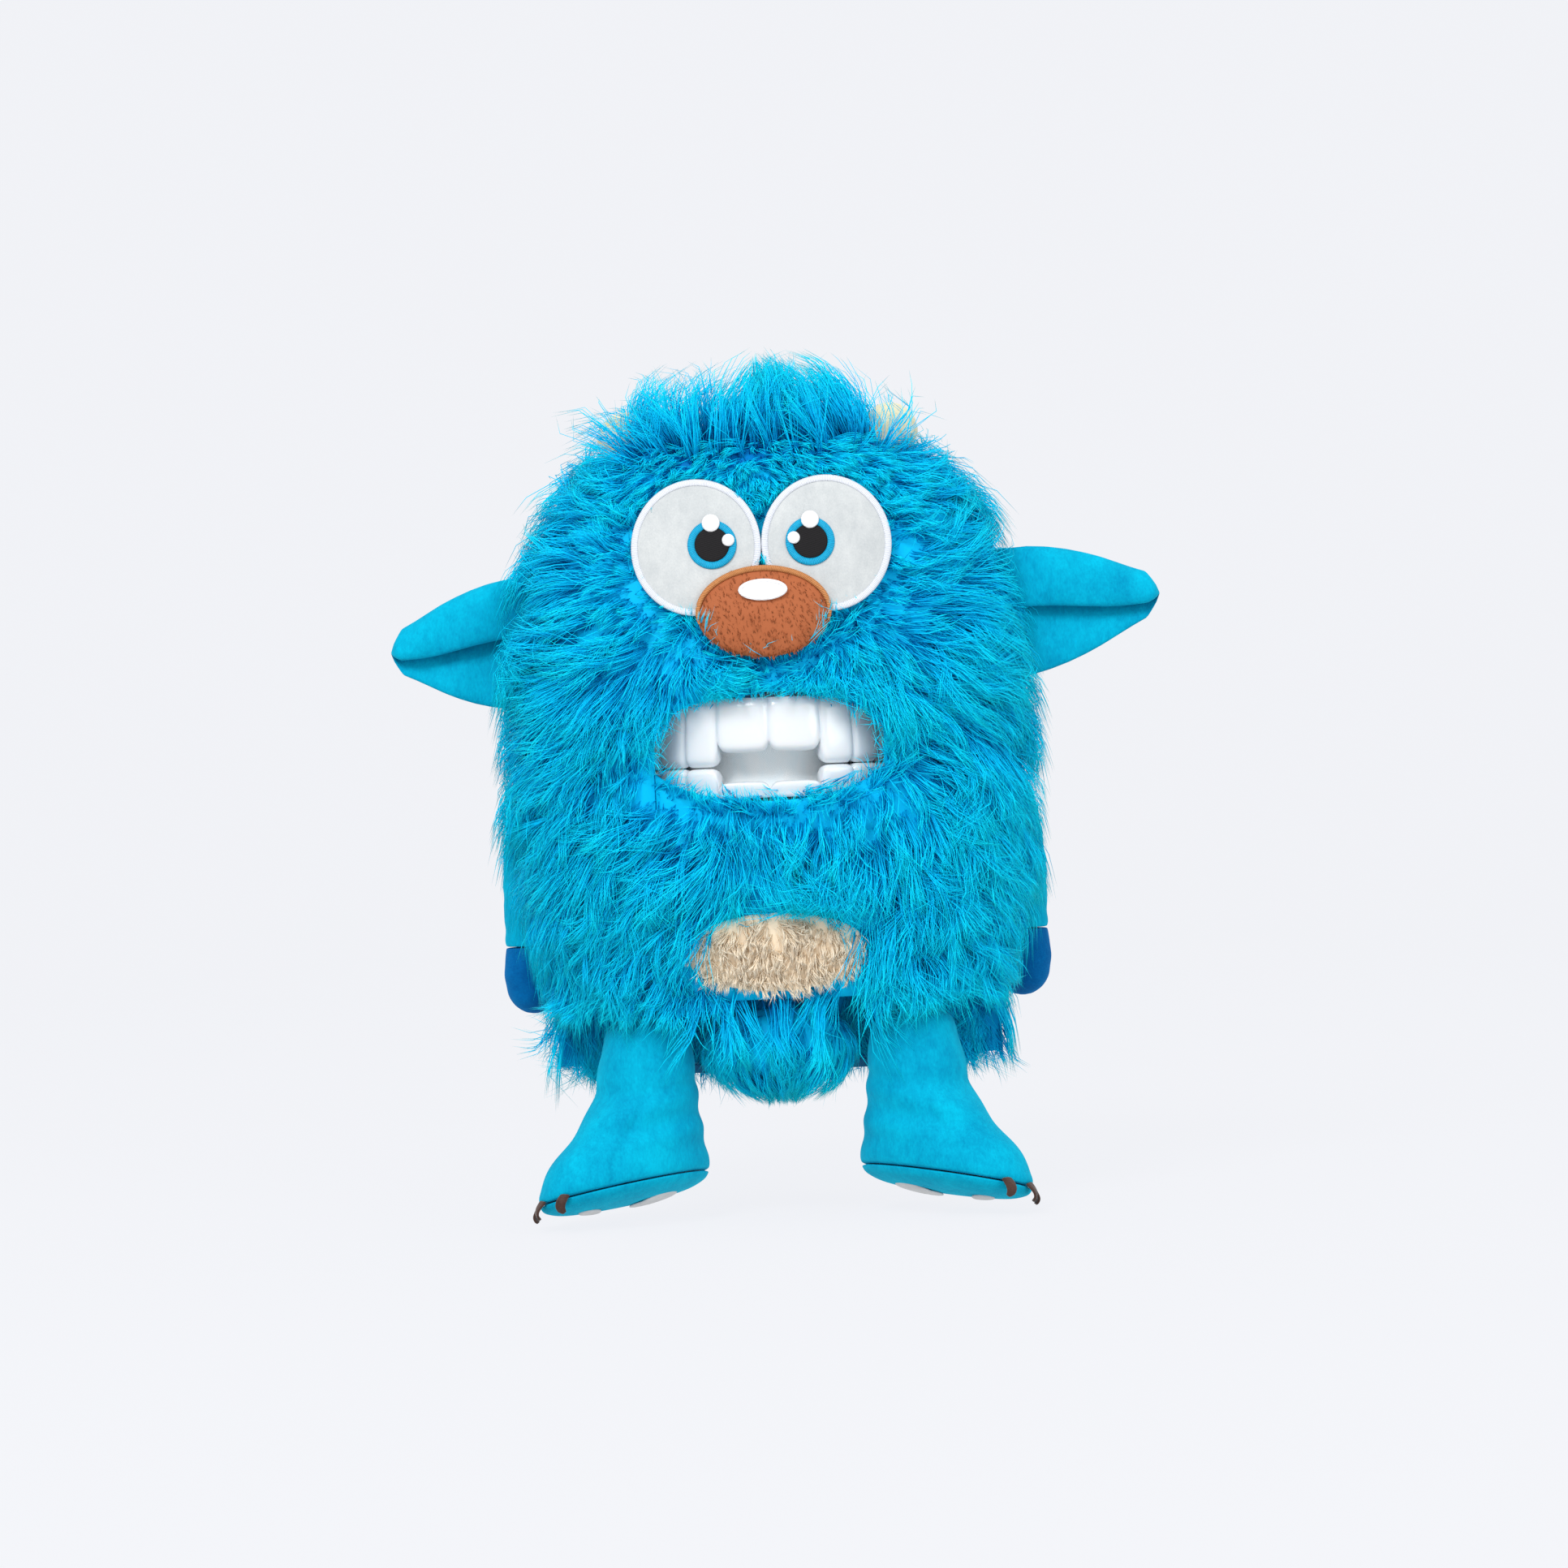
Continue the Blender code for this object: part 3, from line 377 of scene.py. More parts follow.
look = dict(
    blueFur=furCloth("blueFur", (0.0, 0.20, 0.56), (0.0, 0.64, 1.0), (0.004, 0.92, 1.0), (0.6, 0.86, 0.97)),
    tanPile=furCloth("tanPile", (0.92, 0.68, 0.45), (1.0, 0.84, 0.64), (1.0, 0.93, 0.80), (0.95, 0.91, 0.85)),
    nosePile=furCloth("nosePile", (0.16, 0.045, 0.015), (0.38, 0.11, 0.045), (0.55, 0.19, 0.08),
        (0.85, 0.8, 0.75)),
    turquoisePlush=plushCloth("turquoisePlush", (0.0, 0.26, 0.46), (0.001, 0.46, 0.68), tint=(0.06, 0.8, 1.0),
        sheen=0.3),
    navyPlush=plushCloth("navyPlush", (0.0, 0.075, 0.26), (0.001, 0.15, 0.42), 1100.0, (1.0, 1.0, 1.6),
        tint=(0.1, 0.5, 1.0), sheen=0.25),
    creamPlush=plushCloth("creamPlush", (0.66, 0.58, 0.36), (0.86, 0.80, 0.58), 1200.0),
    whiteFelt=plushCloth("whiteFelt", (0.47, 0.50, 0.515), (0.61, 0.635, 0.64), 1700.0, (1.0, 1.0, 0.8), 0.3,
        0.1),
    padFelt=plushCloth("padFelt", (0.50, 0.52, 0.55), (0.66, 0.68, 0.70), 1500.0, (1.0, 1.0, 1.0), 0.3, 0.1),
    darkFelt=plushCloth("darkFelt", (0.035, 0.018, 0.014), (0.10, 0.055, 0.045), 1300.0, (1.0, 1.0, 3.0), 0.4,
        0.3),
    greyCloth=wovenCloth("greyCloth", (0.30, 0.36, 0.42), (0.50, 0.57, 0.63), 0.5),
    paleCloth=wovenCloth("paleCloth", (0.769, 0.904, 0.970), (0.970, 0.970, 0.970), 0.45),
    sleeveCloth=wovenCloth("sleeveCloth", (0.02, 0.16, 0.32), (0.06, 0.28, 0.48), 0.8),
    board=wovenCloth("board", (0.35, 0.34, 0.31), (0.52, 0.50, 0.46), 1.4),
    fibreFill=fibreFill("fibreFill"),
    toothRubber=paleRubber("toothRubber"),
)
print("materials made")


fur = dict(
    rootInset=6.0, spacing=8.2, subLocks=4, hairsEach=15, radius=0.21, calm=1.0,
    tighten=0.97, subTighten=0.35, curl=0.5, stray=0.04, seed=41,
)
eye = dict(x=24.0, z=193.0, halfWidth=24.2, halfHeight=25.5, irisX=18.0, irisZ=193.6, irisRadius=9.0,
    pupilRadius=6.4)
nose = dict(z=168.0, halfWidth=24.5, halfHeight=16.5, lift=2.5, wall=1.6, dome=3.6)
patch = dict(z=43.5, halfWidth=34.0, halfHeight=14.5)
rng = np.random.default_rng(fur["seed"])


def bodyTables():
    # height and distance run up the side of the body, and share of the way round its plan against angle
    inset = fur["rootInset"]
    tilt = np.linspace(0.0, math.pi / 2, 3001)
    dome = np.sin(tilt) ** (2.0 / body["domePower"])
    high = body["widestZ"] + (body["topZ"] - inset - body["widestZ"]) * dome
    z = np.concatenate([np.linspace(-70.0, body["widestZ"], 721)[:-1], high])
    full = swell(np.maximum(z, 27.0), inset)
    run = np.concatenate([[0.0], np.cumsum(np.hypot(np.diff(z), 66.0 * np.diff(full)))])
    turn = np.linspace(0.0, 2.0 * math.pi, 2881)
    plan = skinPoint(turn, np.full(turn.shape, 250.0), inset, np.ones(turn.shape))
    length = np.concatenate([[0.0], np.cumsum(np.linalg.norm(np.diff(plan, axis=0), axis=1))])
    return z, run, full, turn, length / length[-1], length[-1]


tableZ, tableRun, tableFull, tableTurn, tableShare, planLength = bodyTables()


def runAt(z):
    # the distance up the side at a height
    return np.interp(z, tableZ, tableRun)


def bodyFlat(share, run):
    # a point of the surface that the hairs stand on; below the hem it hangs straight down
    z = np.interp(run, tableRun, tableZ)
    turn = np.interp(share % 1.0, tableShare, tableTurn)
    hem = np.where(np.cos(turn) > -0.087, 27.0, 2.0)
    return skinPoint(turn, z, fur["rootInset"], swell(np.maximum(z, hem), fur["rootInset"]))


def bodyPlace(share, run, lift):
    # the surface point, plus its normal times the lift
    run = np.minimum(run, tableRun[-1] - 0.5)
    point = bodyFlat(share, run)
    aside = bodyFlat(share + 0.0008, run) - point
    above = bodyFlat(share, run - 0.4) - point
    normal = np.cross(above, aside)
    normal = unit(normal)
    return point + normal * lift[..., None], normal


def roundBody(share):
    # the angle from the front, and 1 on the left half of the body or -1 on the right
    turn = np.interp(share % 1.0, tableShare, tableTurn)
    return turn, np.where(turn < math.pi, 1.0, -1.0)


def bodyAround(run):
    # the length once round the body
    return np.maximum(planLength * np.interp(run, tableRun, tableFull), 60.0)


def oval(x, z, middleX, middleZ, halfWidth, halfHeight):
    # how far outside an oval a point is, in millimetres; negative inside
    share = np.hypot((x - middleX) / halfWidth, (z - middleZ) / halfHeight)
    return (share - 1.0) * (halfWidth + halfHeight) / 2.0


def eyeGap(x, z):
    # outside the nearer eye
    return oval(np.abs(x), z, eye["x"], eye["z"], eye["halfWidth"], eye["halfHeight"])


def noseGap(x, z):
    # outside the nose
    return oval(x, z, 0.0, nose["z"], nose["halfWidth"], nose["halfHeight"])


def patchGap(x, z):
    # outside the belly patch
    return oval(x, z, 0.0, patch["z"], patch["halfWidth"], patch["halfHeight"])


def mouthGap(x, z):
    # outside the lens between the lips: above the upper, below the lower, or beside the corners
    upper = z - (body["lipHighZ"] - lipCurve(x))
    lower = (body["lipLowZ"] + lipCurve(x)) - z
    return np.maximum(np.maximum(upper, lower), np.abs(x) - body["mouthHalfWidth"])


driftWaves = rng.normal(0.0, 1.0, (9, 2)) * (2.0 * math.pi / 62.0)
driftPhase = rng.uniform(0.0, 2.0 * math.pi, (2, 9))


def drift(across, up, which):
    # a slow wandering field: the mean of nine sines that cross at random
    waves = across[..., None] * driftWaves[:, 0] + up[..., None] * driftWaves[:, 1] + driftPhase[which]
    return np.sin(waves).sum(-1) / 2.4


def bodyCoat(share, run, side):
    # which way the hair is combed, as an angle from straight down towards the back, its length, and its loft
    point = bodyFlat(share, np.minimum(run, tableRun[-1] - 0.5))
    x, z = point[..., 0], point[..., 2]
    facing = np.cos(roundBody(share)[0])
    front = smooth(-0.05, 0.3, facing)
    out = np.abs(x)
    wander, sway = side * drift(x, z, 0), side * drift(x, z, 1)
    radial = np.arctan2(out + 2.0, 203.0 - z) * (0.72 + 0.28 * smooth(30.0, 120.0, z))
    behind = 0.12 + 0.25 * smooth(150.0, 215.0, z)
    comb = radial * front + behind * (1.0 - front) + 0.34 * wander
    near = np.minimum(np.minimum(eyeGap(x, z), noseGap(x, z)), mouthGap(x, z) + 3.0)
    near = np.where(front > 0.3, near, 60.0)
    length = 10.0 + 23.0 * smooth(0.0, 26.0, near) + 3.0 * sway * side
    beside = smooth(-0.6, -0.2, facing)
    loft = 9.8 + 5.6 * smooth(2.0, 24.0, near) + 3.0 * smooth(186.0, 226.0, z) * front
    loft = loft + 3.0 * smooth(0.5, 0.1, facing) * beside
    loft = loft * (1.0 - 0.4 * smooth(84.0, 60.0, z) * smooth(0.6, 0.3, facing) * beside)
    either = drift(x * 7.0, z * 7.0, 1)
    # the forehead is short and combed down to the eyes
    browTop = 228.0 + 5.0 * np.clip(either, -1.0, 1.0)
    brow = smooth(54.0, 42.0, out) * smooth(206.0, 210.0, z) * (z < browTop) * front
    comb = comb * (1.0 - brow) + brow * (0.12 + 0.2 * wander)
    length = length * (1.0 - brow) + brow * 10.5
    loft = loft * (1.0 - brow) + brow * 8.6
    # between nose and mouth it is short and goes every way
    lip = smooth(36.0, 24.0, out) * smooth(160.0, 152.0, z) * smooth(128.0, 136.0, z) * front
    comb = comb * (1.0 - lip) + lip * (0.3 + 1.1 * wander)
    # it stands up under the nose and along the chin
    underNose = (noseGap(x, z) < 6.5) & (z < 166.0) & (front > 0.5) & (either > -0.25)
    comb = np.where(underNose, 2.6 + 0.7 * wander, comb)
    chinEdge = (np.abs(mouthGap(x, z)) < 6.0) & (z < 112.0) & (out < 46.0) & (front > 0.5) & (either > -0.3)
    comb = np.where(chinEdge, 2.7 + 0.5 * wander, comb)
    length = np.where(chinEdge, 11.0, length)
    # below the chin it swirls
    swirl = smooth(46.0, 30.0, out) * smooth(98.0, 88.0, z) * smooth(56.0, 66.0, z) * front
    comb = comb + swirl * 0.75 * sway
    # the crown stands up and fans out
    crown = np.where((out < 50.0) & (front > 0.3), z >= browTop, smooth(224.0, 231.0, z))
    crown = crown * (0.35 + 0.65 * smooth(-0.5, 0.2, facing))
    comb = comb * (1.0 - crown) + crown * (np.arctan2(out * 0.8 + 1.0, 206.0 - z) + 0.55 * wander)
    tall = crown * smooth(78.0, 46.0, out)
    length = length * (1.0 - crown) + crown * (27.0 + 11.0 * tall)
    loft = loft * (1.0 - crown) + crown * (14.0 + 13.6 * tall)
    lay = 1.0 - 0.42 * crown
    # the hem: the front and sides end above the legs, the back hangs behind them
    middle = smooth(38.0, 27.0, out) * front
    hem = np.where(facing > 0.3, z - 15.0 + 25.0 * middle, z + 8.0)
    length = np.minimum(length + 4.0 * middle * smooth(50.0, 34.0, z), np.maximum(hem, 9.0))
    comb = comb * (1.0 - middle * smooth(60.0, 40.0, z)) - 0.012 * out * middle * smooth(60.0, 40.0, z)
    return comb, length, loft, lay


def growLocks(place, around, coat, u, v, side, rules):
    # each lock splits into smaller ones, whose hairs draw together towards the tip as they follow the comb
    locks, subs, hairs, steps = len(u), rules["subLocks"], rules["hairsEach"], rules["steps"]
    sub = rng.normal(0.0, 0.40 * rules["spacing"], (locks, subs, 1, 2))
    own = rng.normal(0.0, 0.23 * rules["spacing"], (locks, subs, hairs, 2))
    size = (locks, subs, hairs)
    girth = around(v)[:, None, None]
    u, v, side = (np.broadcast_to(a[:, None, None], size) for a in (u, v, side))
    rootU, rootV = u + (sub + own)[..., 0] / girth, v + (sub + own)[..., 1]
    comb, length, loft, lay = coat(rootU, rootV, side)
    stray = rng.random(size) < fur["stray"]
    turns = rng.normal(0.0, 0.2, (locks, 1, 1)) + rng.normal(0.0, 0.13, (locks, subs, 1))
    turns = turns + rng.normal(0.0, 0.05, size) + stray * rng.normal(0.0, 0.4, size)
    comb = comb + turns * rules["calm"]
    curl = (rng.normal(0.0, fur["curl"], (locks, subs, 1)) + rng.normal(0.0, 0.12, size)) * rules["calm"]
    length = length * rng.uniform(0.86, 1.14, (locks, 1, 1)) * rng.uniform(0.82, 1.1,
        (locks, subs, 1)) * rng.uniform(0.78, 1.06, size)
    loft = loft * rng.uniform(0.5, 1.2, (locks, subs, 1)) * (0.72 + 0.28 * rng.random(size)) + stray * 1.5
    phase = rng.uniform(0.0, 2.0 * math.pi, (locks, subs, 1))
    t = np.linspace(0.0, 1.0, steps)
    angle = comb[..., None] + curl[..., None] * t * 0.5
    ahead = (length * lay)[..., None] * t
    pull = np.where(stray[..., None], 1.0 - 0.3 * t, 1.0 - fur["tighten"] * t ** 0.7)
    subPull = 1.0 - fur["subTighten"] * t
    wave = 0.06 * length[..., None] * t * np.sin(7.0 * t + phase[..., None])
    swing = ahead * np.sin(angle) + wave * np.cos(angle)
    across = sub[..., 0, None] * subPull + own[..., 0, None] * pull + side[..., None] * swing
    upward = sub[..., 1, None] * subPull + own[..., 1, None] * pull
    upward = upward - ahead * np.cos(angle) + wave * np.sin(angle)
    lift = loft[..., None] * (1.0 - (1.0 - t) ** 1.7) - 0.6
    path, normal = place(u[..., None] + across / girth[..., None], v[..., None] + upward, lift)
    shade = 0.5 + 0.2 * rng.normal(0.0, 1.0, (locks, 1, 1)) + 0.26 * rng.normal(0.0, 1.0, (locks, subs, 1))
    shade = np.clip(shade + 0.14 * rng.normal(0.0, 1.0, size), 0.0, 1.0)
    return path.reshape(-1, steps, 3), normal.reshape(-1, steps, 3)[:, 0], shade.reshape(-1)


def hairPart(path, normal, shade, radius):
    # three-sided closed hairs: rings at radius * (1 - t)^0.4, and a point
    count, steps = path.shape[:2]
    t = np.linspace(0.0, 1.0, steps)
    tangent = unit(np.gradient(path, axis=1))
    guide = normal + 0.3 * rng.normal(0.0, 1.0, normal.shape)
    first = unit(np.cross(tangent, guide[:, None, :]))
    second = np.cross(tangent, first)
    wide = radius * rng.uniform(0.75, 1.2, (count, 1)) * (1.0 - t[:-1]) ** 0.4
    corner = np.arange(3) * (2.0 * math.pi / 3.0)
    rings = path[:, :-1, None, :] + wide[:, :, None, None] * (
        np.cos(corner)[:, None] * first[:, :-1, None, :] + np.sin(corner)[:, None] * second[:, :-1, None, :]
    )
    points = np.concatenate([rings.reshape(count, -1, 3), path[:, -1:]], axis=1)
    each = points.shape[1]
    walls = [[3 * r + i, 3 * r + (i + 1) % 3, 3 * r + 3 + (i + 1) % 3, 3 * r + 3 + i]
        for r in range(steps - 2) for i in range(3)]
    last = 3 * (steps - 2)
    tips = [[last + i, last + (i + 1) % 3, each - 1, each - 1] for i in range(3)]
    one = np.array([[2, 1, 0, 0]] + walls + tips)
    faces = (one[None] + (np.arange(count) * each)[:, None, None]).reshape(-1, 4)
    along = np.concatenate([np.repeat(t[:-1], 3), [1.0]])
    fields = dict(along=np.tile(along, count), shade=np.repeat(shade, each))
    return points.reshape(-1, 3), faces, fields


def finish(piece, rider, slot, *nodes, fill=None):
    # rider is a body that the piece is attached to; a rider of two bodies and two points leaves the piece
    # unattached, its place baked into its points
    if nodes:
        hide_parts(*nodes)
    if isinstance(rider, tuple):
        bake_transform(piece)
    else:
        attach(piece, rider)


def pair(name, parts, cloth, rider, slot, node, fill=None):
    # a piece and its mirror image; parts are those of the left one
    for side, which in sides:
        piece = makePiece(name + which, [mirrorPart(part, side) for part in parts], look[cloth])
        low = which.lower()
        finish(piece, "torso" if rider == "torso" else low + "_" + rider, slot, node + "_" + low, fill=fill)


def plainFields(points, along=0.0, shade=0.3):
    return dict(along=np.full(len(points), along), shade=np.full(len(points), shade))


def tinted(part, along=0.0, shade=0.3):
    return part[0], part[1], plainFields(part[0], along, shade)


def backing(turns, low, high, rows):
    # the cloth that the hairs stand on: a patch of the body, a millimetre thick
    share = np.linspace(0.0, 1.0, rows)[:, None]
    z = low[None] + (high - low)[None] * share
    turn = turns(z) if callable(turns) else np.broadcast_to(turns[None], z.shape)
    points, faces = slabParts(skinPoint(turn, z, 5.2), skinPoint(turn, z, 6.3))
    return points, faces, plainFields(points, 0.34, 0.45)


def grow(coat, share, run, side, **changed):
    # the hairs of some locks on the body, cut where they would cross a feature
    path, normal, shade = growLocks(bodyPlace, bodyAround, coat, share, run, side, dict(fur, **changed))
    path, keep = trim(path)
    return hairPart(path[keep], normal[keep], shade[keep], fur["radius"])


def lockCentres(spacing):
    # a staggered, shaken lattice over the body: rows up its side, and as many locks in each as fit round it
    run = np.arange(runAt(1.0), tableRun[-1] - 1.0, spacing)
    counts = np.maximum(3, np.round(bodyAround(run) / spacing)).astype(int)
    row = np.repeat(np.arange(len(run)), counts)
    index = np.arange(len(row)) - np.repeat(np.concatenate([[0], np.cumsum(counts)[:-1]]), counts)
    shake = rng.uniform(-0.42, 0.42, (2, len(row)))
    share = (index + 0.5 * (row % 2) + shake[0]) / counts[row]
    return share % 1.0, run[row] + shake[1] * spacing


def trim(path):
    # hairs that would go too far over an eye, the nose, the mouth or the patch are cut where they reach it
    count, steps = path.shape[:2]
    rootZ = path[:, :1, 2]
    fine = np.linspace(0.0, steps - 1.0, 3 * steps)
    i = np.minimum(fine.astype(int), steps - 2)
    f = (fine - i)[None, :, None]
    dense = path[:, i] * (1.0 - f) + path[:, i + 1] * f
    x, y, z = dense[..., 0], dense[..., 1], dense[..., 2]
    front = y < body["middleY"] - 12.0
    some = rng.uniform(0.1, 1.0, (count, 1)) ** 1.5
    over = -eyeGap(x, z) > np.where(rootZ < 181.0, 5.5, 1.2) * some
    over |= -noseGap(x, z) > np.where(rootZ < 166.0, 8.0, 0.6) * some
    mouthDepth = np.where(np.abs(x) > 29.0, 12.0, np.where(rootZ > 112.0, 4.5, 7.5))
    over |= -mouthGap(x, z) > mouthDepth * some
    over |= -patchGap(x, z) > np.where(rootZ > 50.0, 7.0, 2.0) * some
    over &= front
    # a hair that starts under a piece and leaves it isn't cut
    gaps = np.minimum(np.minimum(eyeGap(x, z), noseGap(x, z)), patchGap(x, z))
    over &= (gaps < gaps[:, :1] - 0.4) | (-mouthGap(x, z) > 0.3)
    reach = np.where(over.any(1), np.maximum(over.argmax(1) - 1, 0), 3 * steps - 1) / (3.0 * steps - 1.0)
    at = np.linspace(0.0, 1.0, steps)[None] * reach[:, None] * (steps - 1)
    i = np.minimum(at.astype(int), steps - 2)
    f = (at - i)[..., None]
    row = np.arange(count)[:, None]
    path = path[row, i] * (1.0 - f) + path[row, i + 1] * f
    x, z = path[..., 0], path[..., 2]
    clear = (path[..., 1] > body["middleY"] - 12.0) | ((eyeGap(x, z) > -6.0) & (noseGap(x, z) > -9.0))
    return path, (reach > 0.22) & clear.all(1)


panel = dict(
    frontTurn=52.0, backTurn=95.0, crownZ=222.0, cheekZ=142.0, chinX=44.5, chinZ=87.0, beltZ=62.0,
    backZ=(80.0, 152.0), hemZ=27.0, backHemZ=1.5, lap=0.4,
    throatStart=(0, -0.06, 0.064), throatEnd=(0, -0.06, 0.086),
)


def furRegions(share, run):
    # which locks each panel takes, by their height and their angle from the front, first come first served
    x, z = bodyFlat(share, run)[:, 0], bodyFlat(share, run)[:, 2]
    turn, side = roundBody(share)
    wide = np.degrees(np.minimum(turn, 2.0 * math.pi - turn))
    front, back = wide < panel["frontTurn"], wide >= panel["backTurn"]
    flank = ~front & ~back & (z <= panel["crownZ"])
    inMouth = mouthGap(x, z) < 0.3
    bare = (eyeGap(x, z) < -3.5) | (noseGap(x, z) < -3.5) | (patchGap(x, z) < -1.5)
    usable = ~(front & (inMouth | bare)) & np.where(back, z > panel["backHemZ"], z > panel["hemZ"])
    chinTop = body["lipLowZ"] + lipCurve(x)
    chin = front & (np.abs(x) < panel["chinX"])
    cheek = front & (z > panel["beltZ"]) & (z <= panel["cheekZ"])
    lowZ, highZ = panel["backZ"]
    regions = dict(
        crownFur=z > panel["crownZ"],
        faceFur=front & (z <= panel["crownZ"]) & (z > np.where(np.abs(x) < 46.0, 120.0, panel["cheekZ"])),
        chinFur=chin & (z > panel["chinZ"]) & (z <= chinTop + 1.0) & (z < 112.0),
        throatFur=chin & (z > panel["beltZ"]) & (z <= panel["chinZ"]),
        cheekFurLeft=cheek & (side > 0),
        cheekFurRight=cheek & (side < 0),
        bellyFur=front & (z <= panel["beltZ"]),
        sideFurLeft=flank & (side > 0),
        sideFurRight=flank & (side < 0),
        backFurLow=back & (z <= lowZ),
        backFurMiddle=back & (z > lowZ) & (z <= highZ),
        backFurHigh=back & (z > highZ) & (z <= panel["crownZ"]),
    )
    taken = ~usable
    for name, mask in regions.items():
        regions[name] = mask & ~taken
        taken = taken | mask
    return regions


def clothParts():
    # the backing cloth of each fur panel: a stretch of angles, from a low edge to a high one
    front, back = panel["frontTurn"], panel["backTurn"]
    low, high = panel["backZ"]
    spread = np.linspace(-1.0, 1.0, 31)
    faceTurns = turnAt(np.linspace(-46.9, 46.9, 41), np.full(41, 139.0))
    edge = np.radians(np.linspace(front, np.degrees(faceTurns[-1]) + 1.0, 8))
    faceTurns = np.concatenate([-edge, faceTurns, edge[::-1]])
    lip = body["lipHighZ"] - lipCurve(skinPoint(faceTurns, np.full(57, 139.0))[:, 0])
    lip = np.where(np.abs(faceTurns) < edge[-1] - 0.001, lip, panel["cheekZ"])
    chinLip = body["lipLowZ"] + lipCurve(44.6 * spread)
    flank = np.radians(np.linspace(front - panel["lap"], back + panel["lap"], 13))
    behind = np.radians(np.linspace(back - panel["lap"], 360.0 - back + panel["lap"], 37))

    def strip(turns, lowZ, highZ, columns, rows):
        return backing(turns, lowZ + np.zeros(columns), highZ + np.zeros(columns), rows)

    def chinTurns(z):
        return turnAt(np.linspace(-44.6, 44.6, 31)[None] + 0.0 * z, z)

    def cheekTurns(sign):
        def turns(z):
            inner = turnAt(np.full(z.shape, 45.2), z)
            outer = math.radians(front + panel["lap"])
            return sign * (inner + (outer - inner) * np.linspace(0.0, 1.0, z.shape[1])[None])
        return turns

    climb = np.linspace(1.0, 0.12, 9)[:, None] ** 2
    caps = [skinPoint(circle(48)[None], top - (top - 222.4) * climb, body["topZ"] - top)
        for top in (239.8, 238.7)]
    cap = shellPart(np.concatenate([caps[1][::-1], caps[0]]), (0.0, body["middleY"], 238.7),
        (0.0, body["middleY"], 239.8))
    return dict(
        crownFur=tinted(cap),
        faceFur=strip(faceTurns, lip, 223.0, 57, 24),
        chinFur=strip(chinTurns, panel["chinZ"], chinLip, 31, 7),
        throatFur=strip(chinTurns, 61.0, panel["chinZ"], 31, 9),
        cheekFurLeft=strip(cheekTurns(1.0), 61.0, 143.0, 7, 16),
        cheekFurRight=strip(cheekTurns(-1.0), 61.0, 143.0, 7, 16),
        bellyFur=strip(math.radians(front + panel["lap"]) * spread, 26.0, panel["beltZ"], 31, 10),
        sideFurLeft=strip(flank, 26.0, 223.0, 13, 30),
        sideFurRight=strip(-flank, 26.0, 223.0, 13, 30),
        backFurLow=strip(behind, 0.5, low, 37, 14),
        backFurMiddle=strip(behind, low, high, 37, 12),
        backFurHigh=strip(behind, high, 223.0, 37, 12),
    )


def furCoat():
    # the fur panels: backing cloth with its hairs; the chin rides on the jaw, and the throat, given the body
    # and the jaw, is left unattached
    riders = dict(chinFur="jaw", throatFur=("torso", "jaw", panel["throatStart"], panel["throatEnd"]))
    share, run = lockCentres(fur["spacing"])
    side = roundBody(share)[1]
    cloth = clothParts()
    for name, mask in furRegions(share, run).items():
        back = name.startswith("back")
        steps, hairs = 4 if back or name.startswith("side") else 5, 11 if back else 14
        pile = grow(bodyCoat, share[mask], run[mask], side[mask], steps=steps, hairsEach=hairs)
        words = "".join("_" + letter.lower() if letter.isupper() else letter for letter in name)
        node = "back_fur" if back else "throat_gusset" if name == "throatFur" else words
        piece = makePiece(name, [cloth[name], pile], look["blueFur"])
        finish(piece, riders.get(name, "torso"), "blue_fur", node)
        print("fur", name, int(mask.sum()), "locks")


def throughKnots(knots, count):
    # a smooth curve through rows of knots: Catmull and Rom's cubic between each two
    knots = np.asarray(knots, float)
    t = np.linspace(0.0, len(knots) - 1.0, count)
    i = np.minimum(t.astype(int), len(knots) - 2)
    f = (t - i)[:, None]
    p = np.concatenate([[2 * knots[0] - knots[1]], knots, [2 * knots[-1] - knots[-2]]])
    a, b, c, d = p[i], p[i + 1], p[i + 2], p[i + 3]
    return b + 0.5 * f * (c - a + f * (2 * a - 5 * b + 4 * c - d + f * (3 * (b - c) + d - a)))


def roundKnots(knots, count):
    # the same curve through knots that form a loop
    knots = np.asarray(knots, float)
    t = np.arange(count) * len(knots) / count
    i = t.astype(int)
    f = (t - i)[:, None]
    a, b, c, d = (knots[(i + k) % len(knots)] for k in (-1, 0, 1, 2))
    return b + 0.5 * f * (c - a + f * (2 * a - 5 * b + 4 * c - d + f * (3 * (b - c) + d - a)))


def mirrorPart(part, side):
    # the part itself on the left, and its mirror image on the right
    return part if side > 0 else (part[0] * np.array([-1.0, 1.0, 1.0]), part[1], part[2])


def ovalPart(middleX, middleZ, halfX, halfZ, low, high, dome=0.0, soft=0.6, columns=96):
    # a cloth oval on the front: lift = high + dome * (1 - r^2) inside, rounded down to low at its edge
    around = circle(columns)[None]
    share = np.array([0.12, 0.28, 0.44, 0.58, 0.7, 0.8, 0.88, 0.94, 0.975, 0.995, 1.0, 0.9, 0.6, 0.25])
    share = share[:, None]
    front = np.arange(14)[:, None] < 11
    edge = np.clip((share - 0.86) / 0.14, 0.0, 1.0)
    fall = soft * (1.0 - np.sqrt(np.maximum(0.0, 1.0 - edge * edge)))
    lift = np.where(front, high + dome * (1.0 - share * share) - fall, low)
    x, z = middleX + halfX * share * np.cos(around), middleZ + halfZ * share * np.sin(around)
    rings = np.stack([x, frontY(x, z, lift), z], -1)
    poles = [(middleX, float(frontY(middleX, middleZ, pole)), middleZ) for pole in (high + dome, low)]
    return shellPart(rings, *poles)


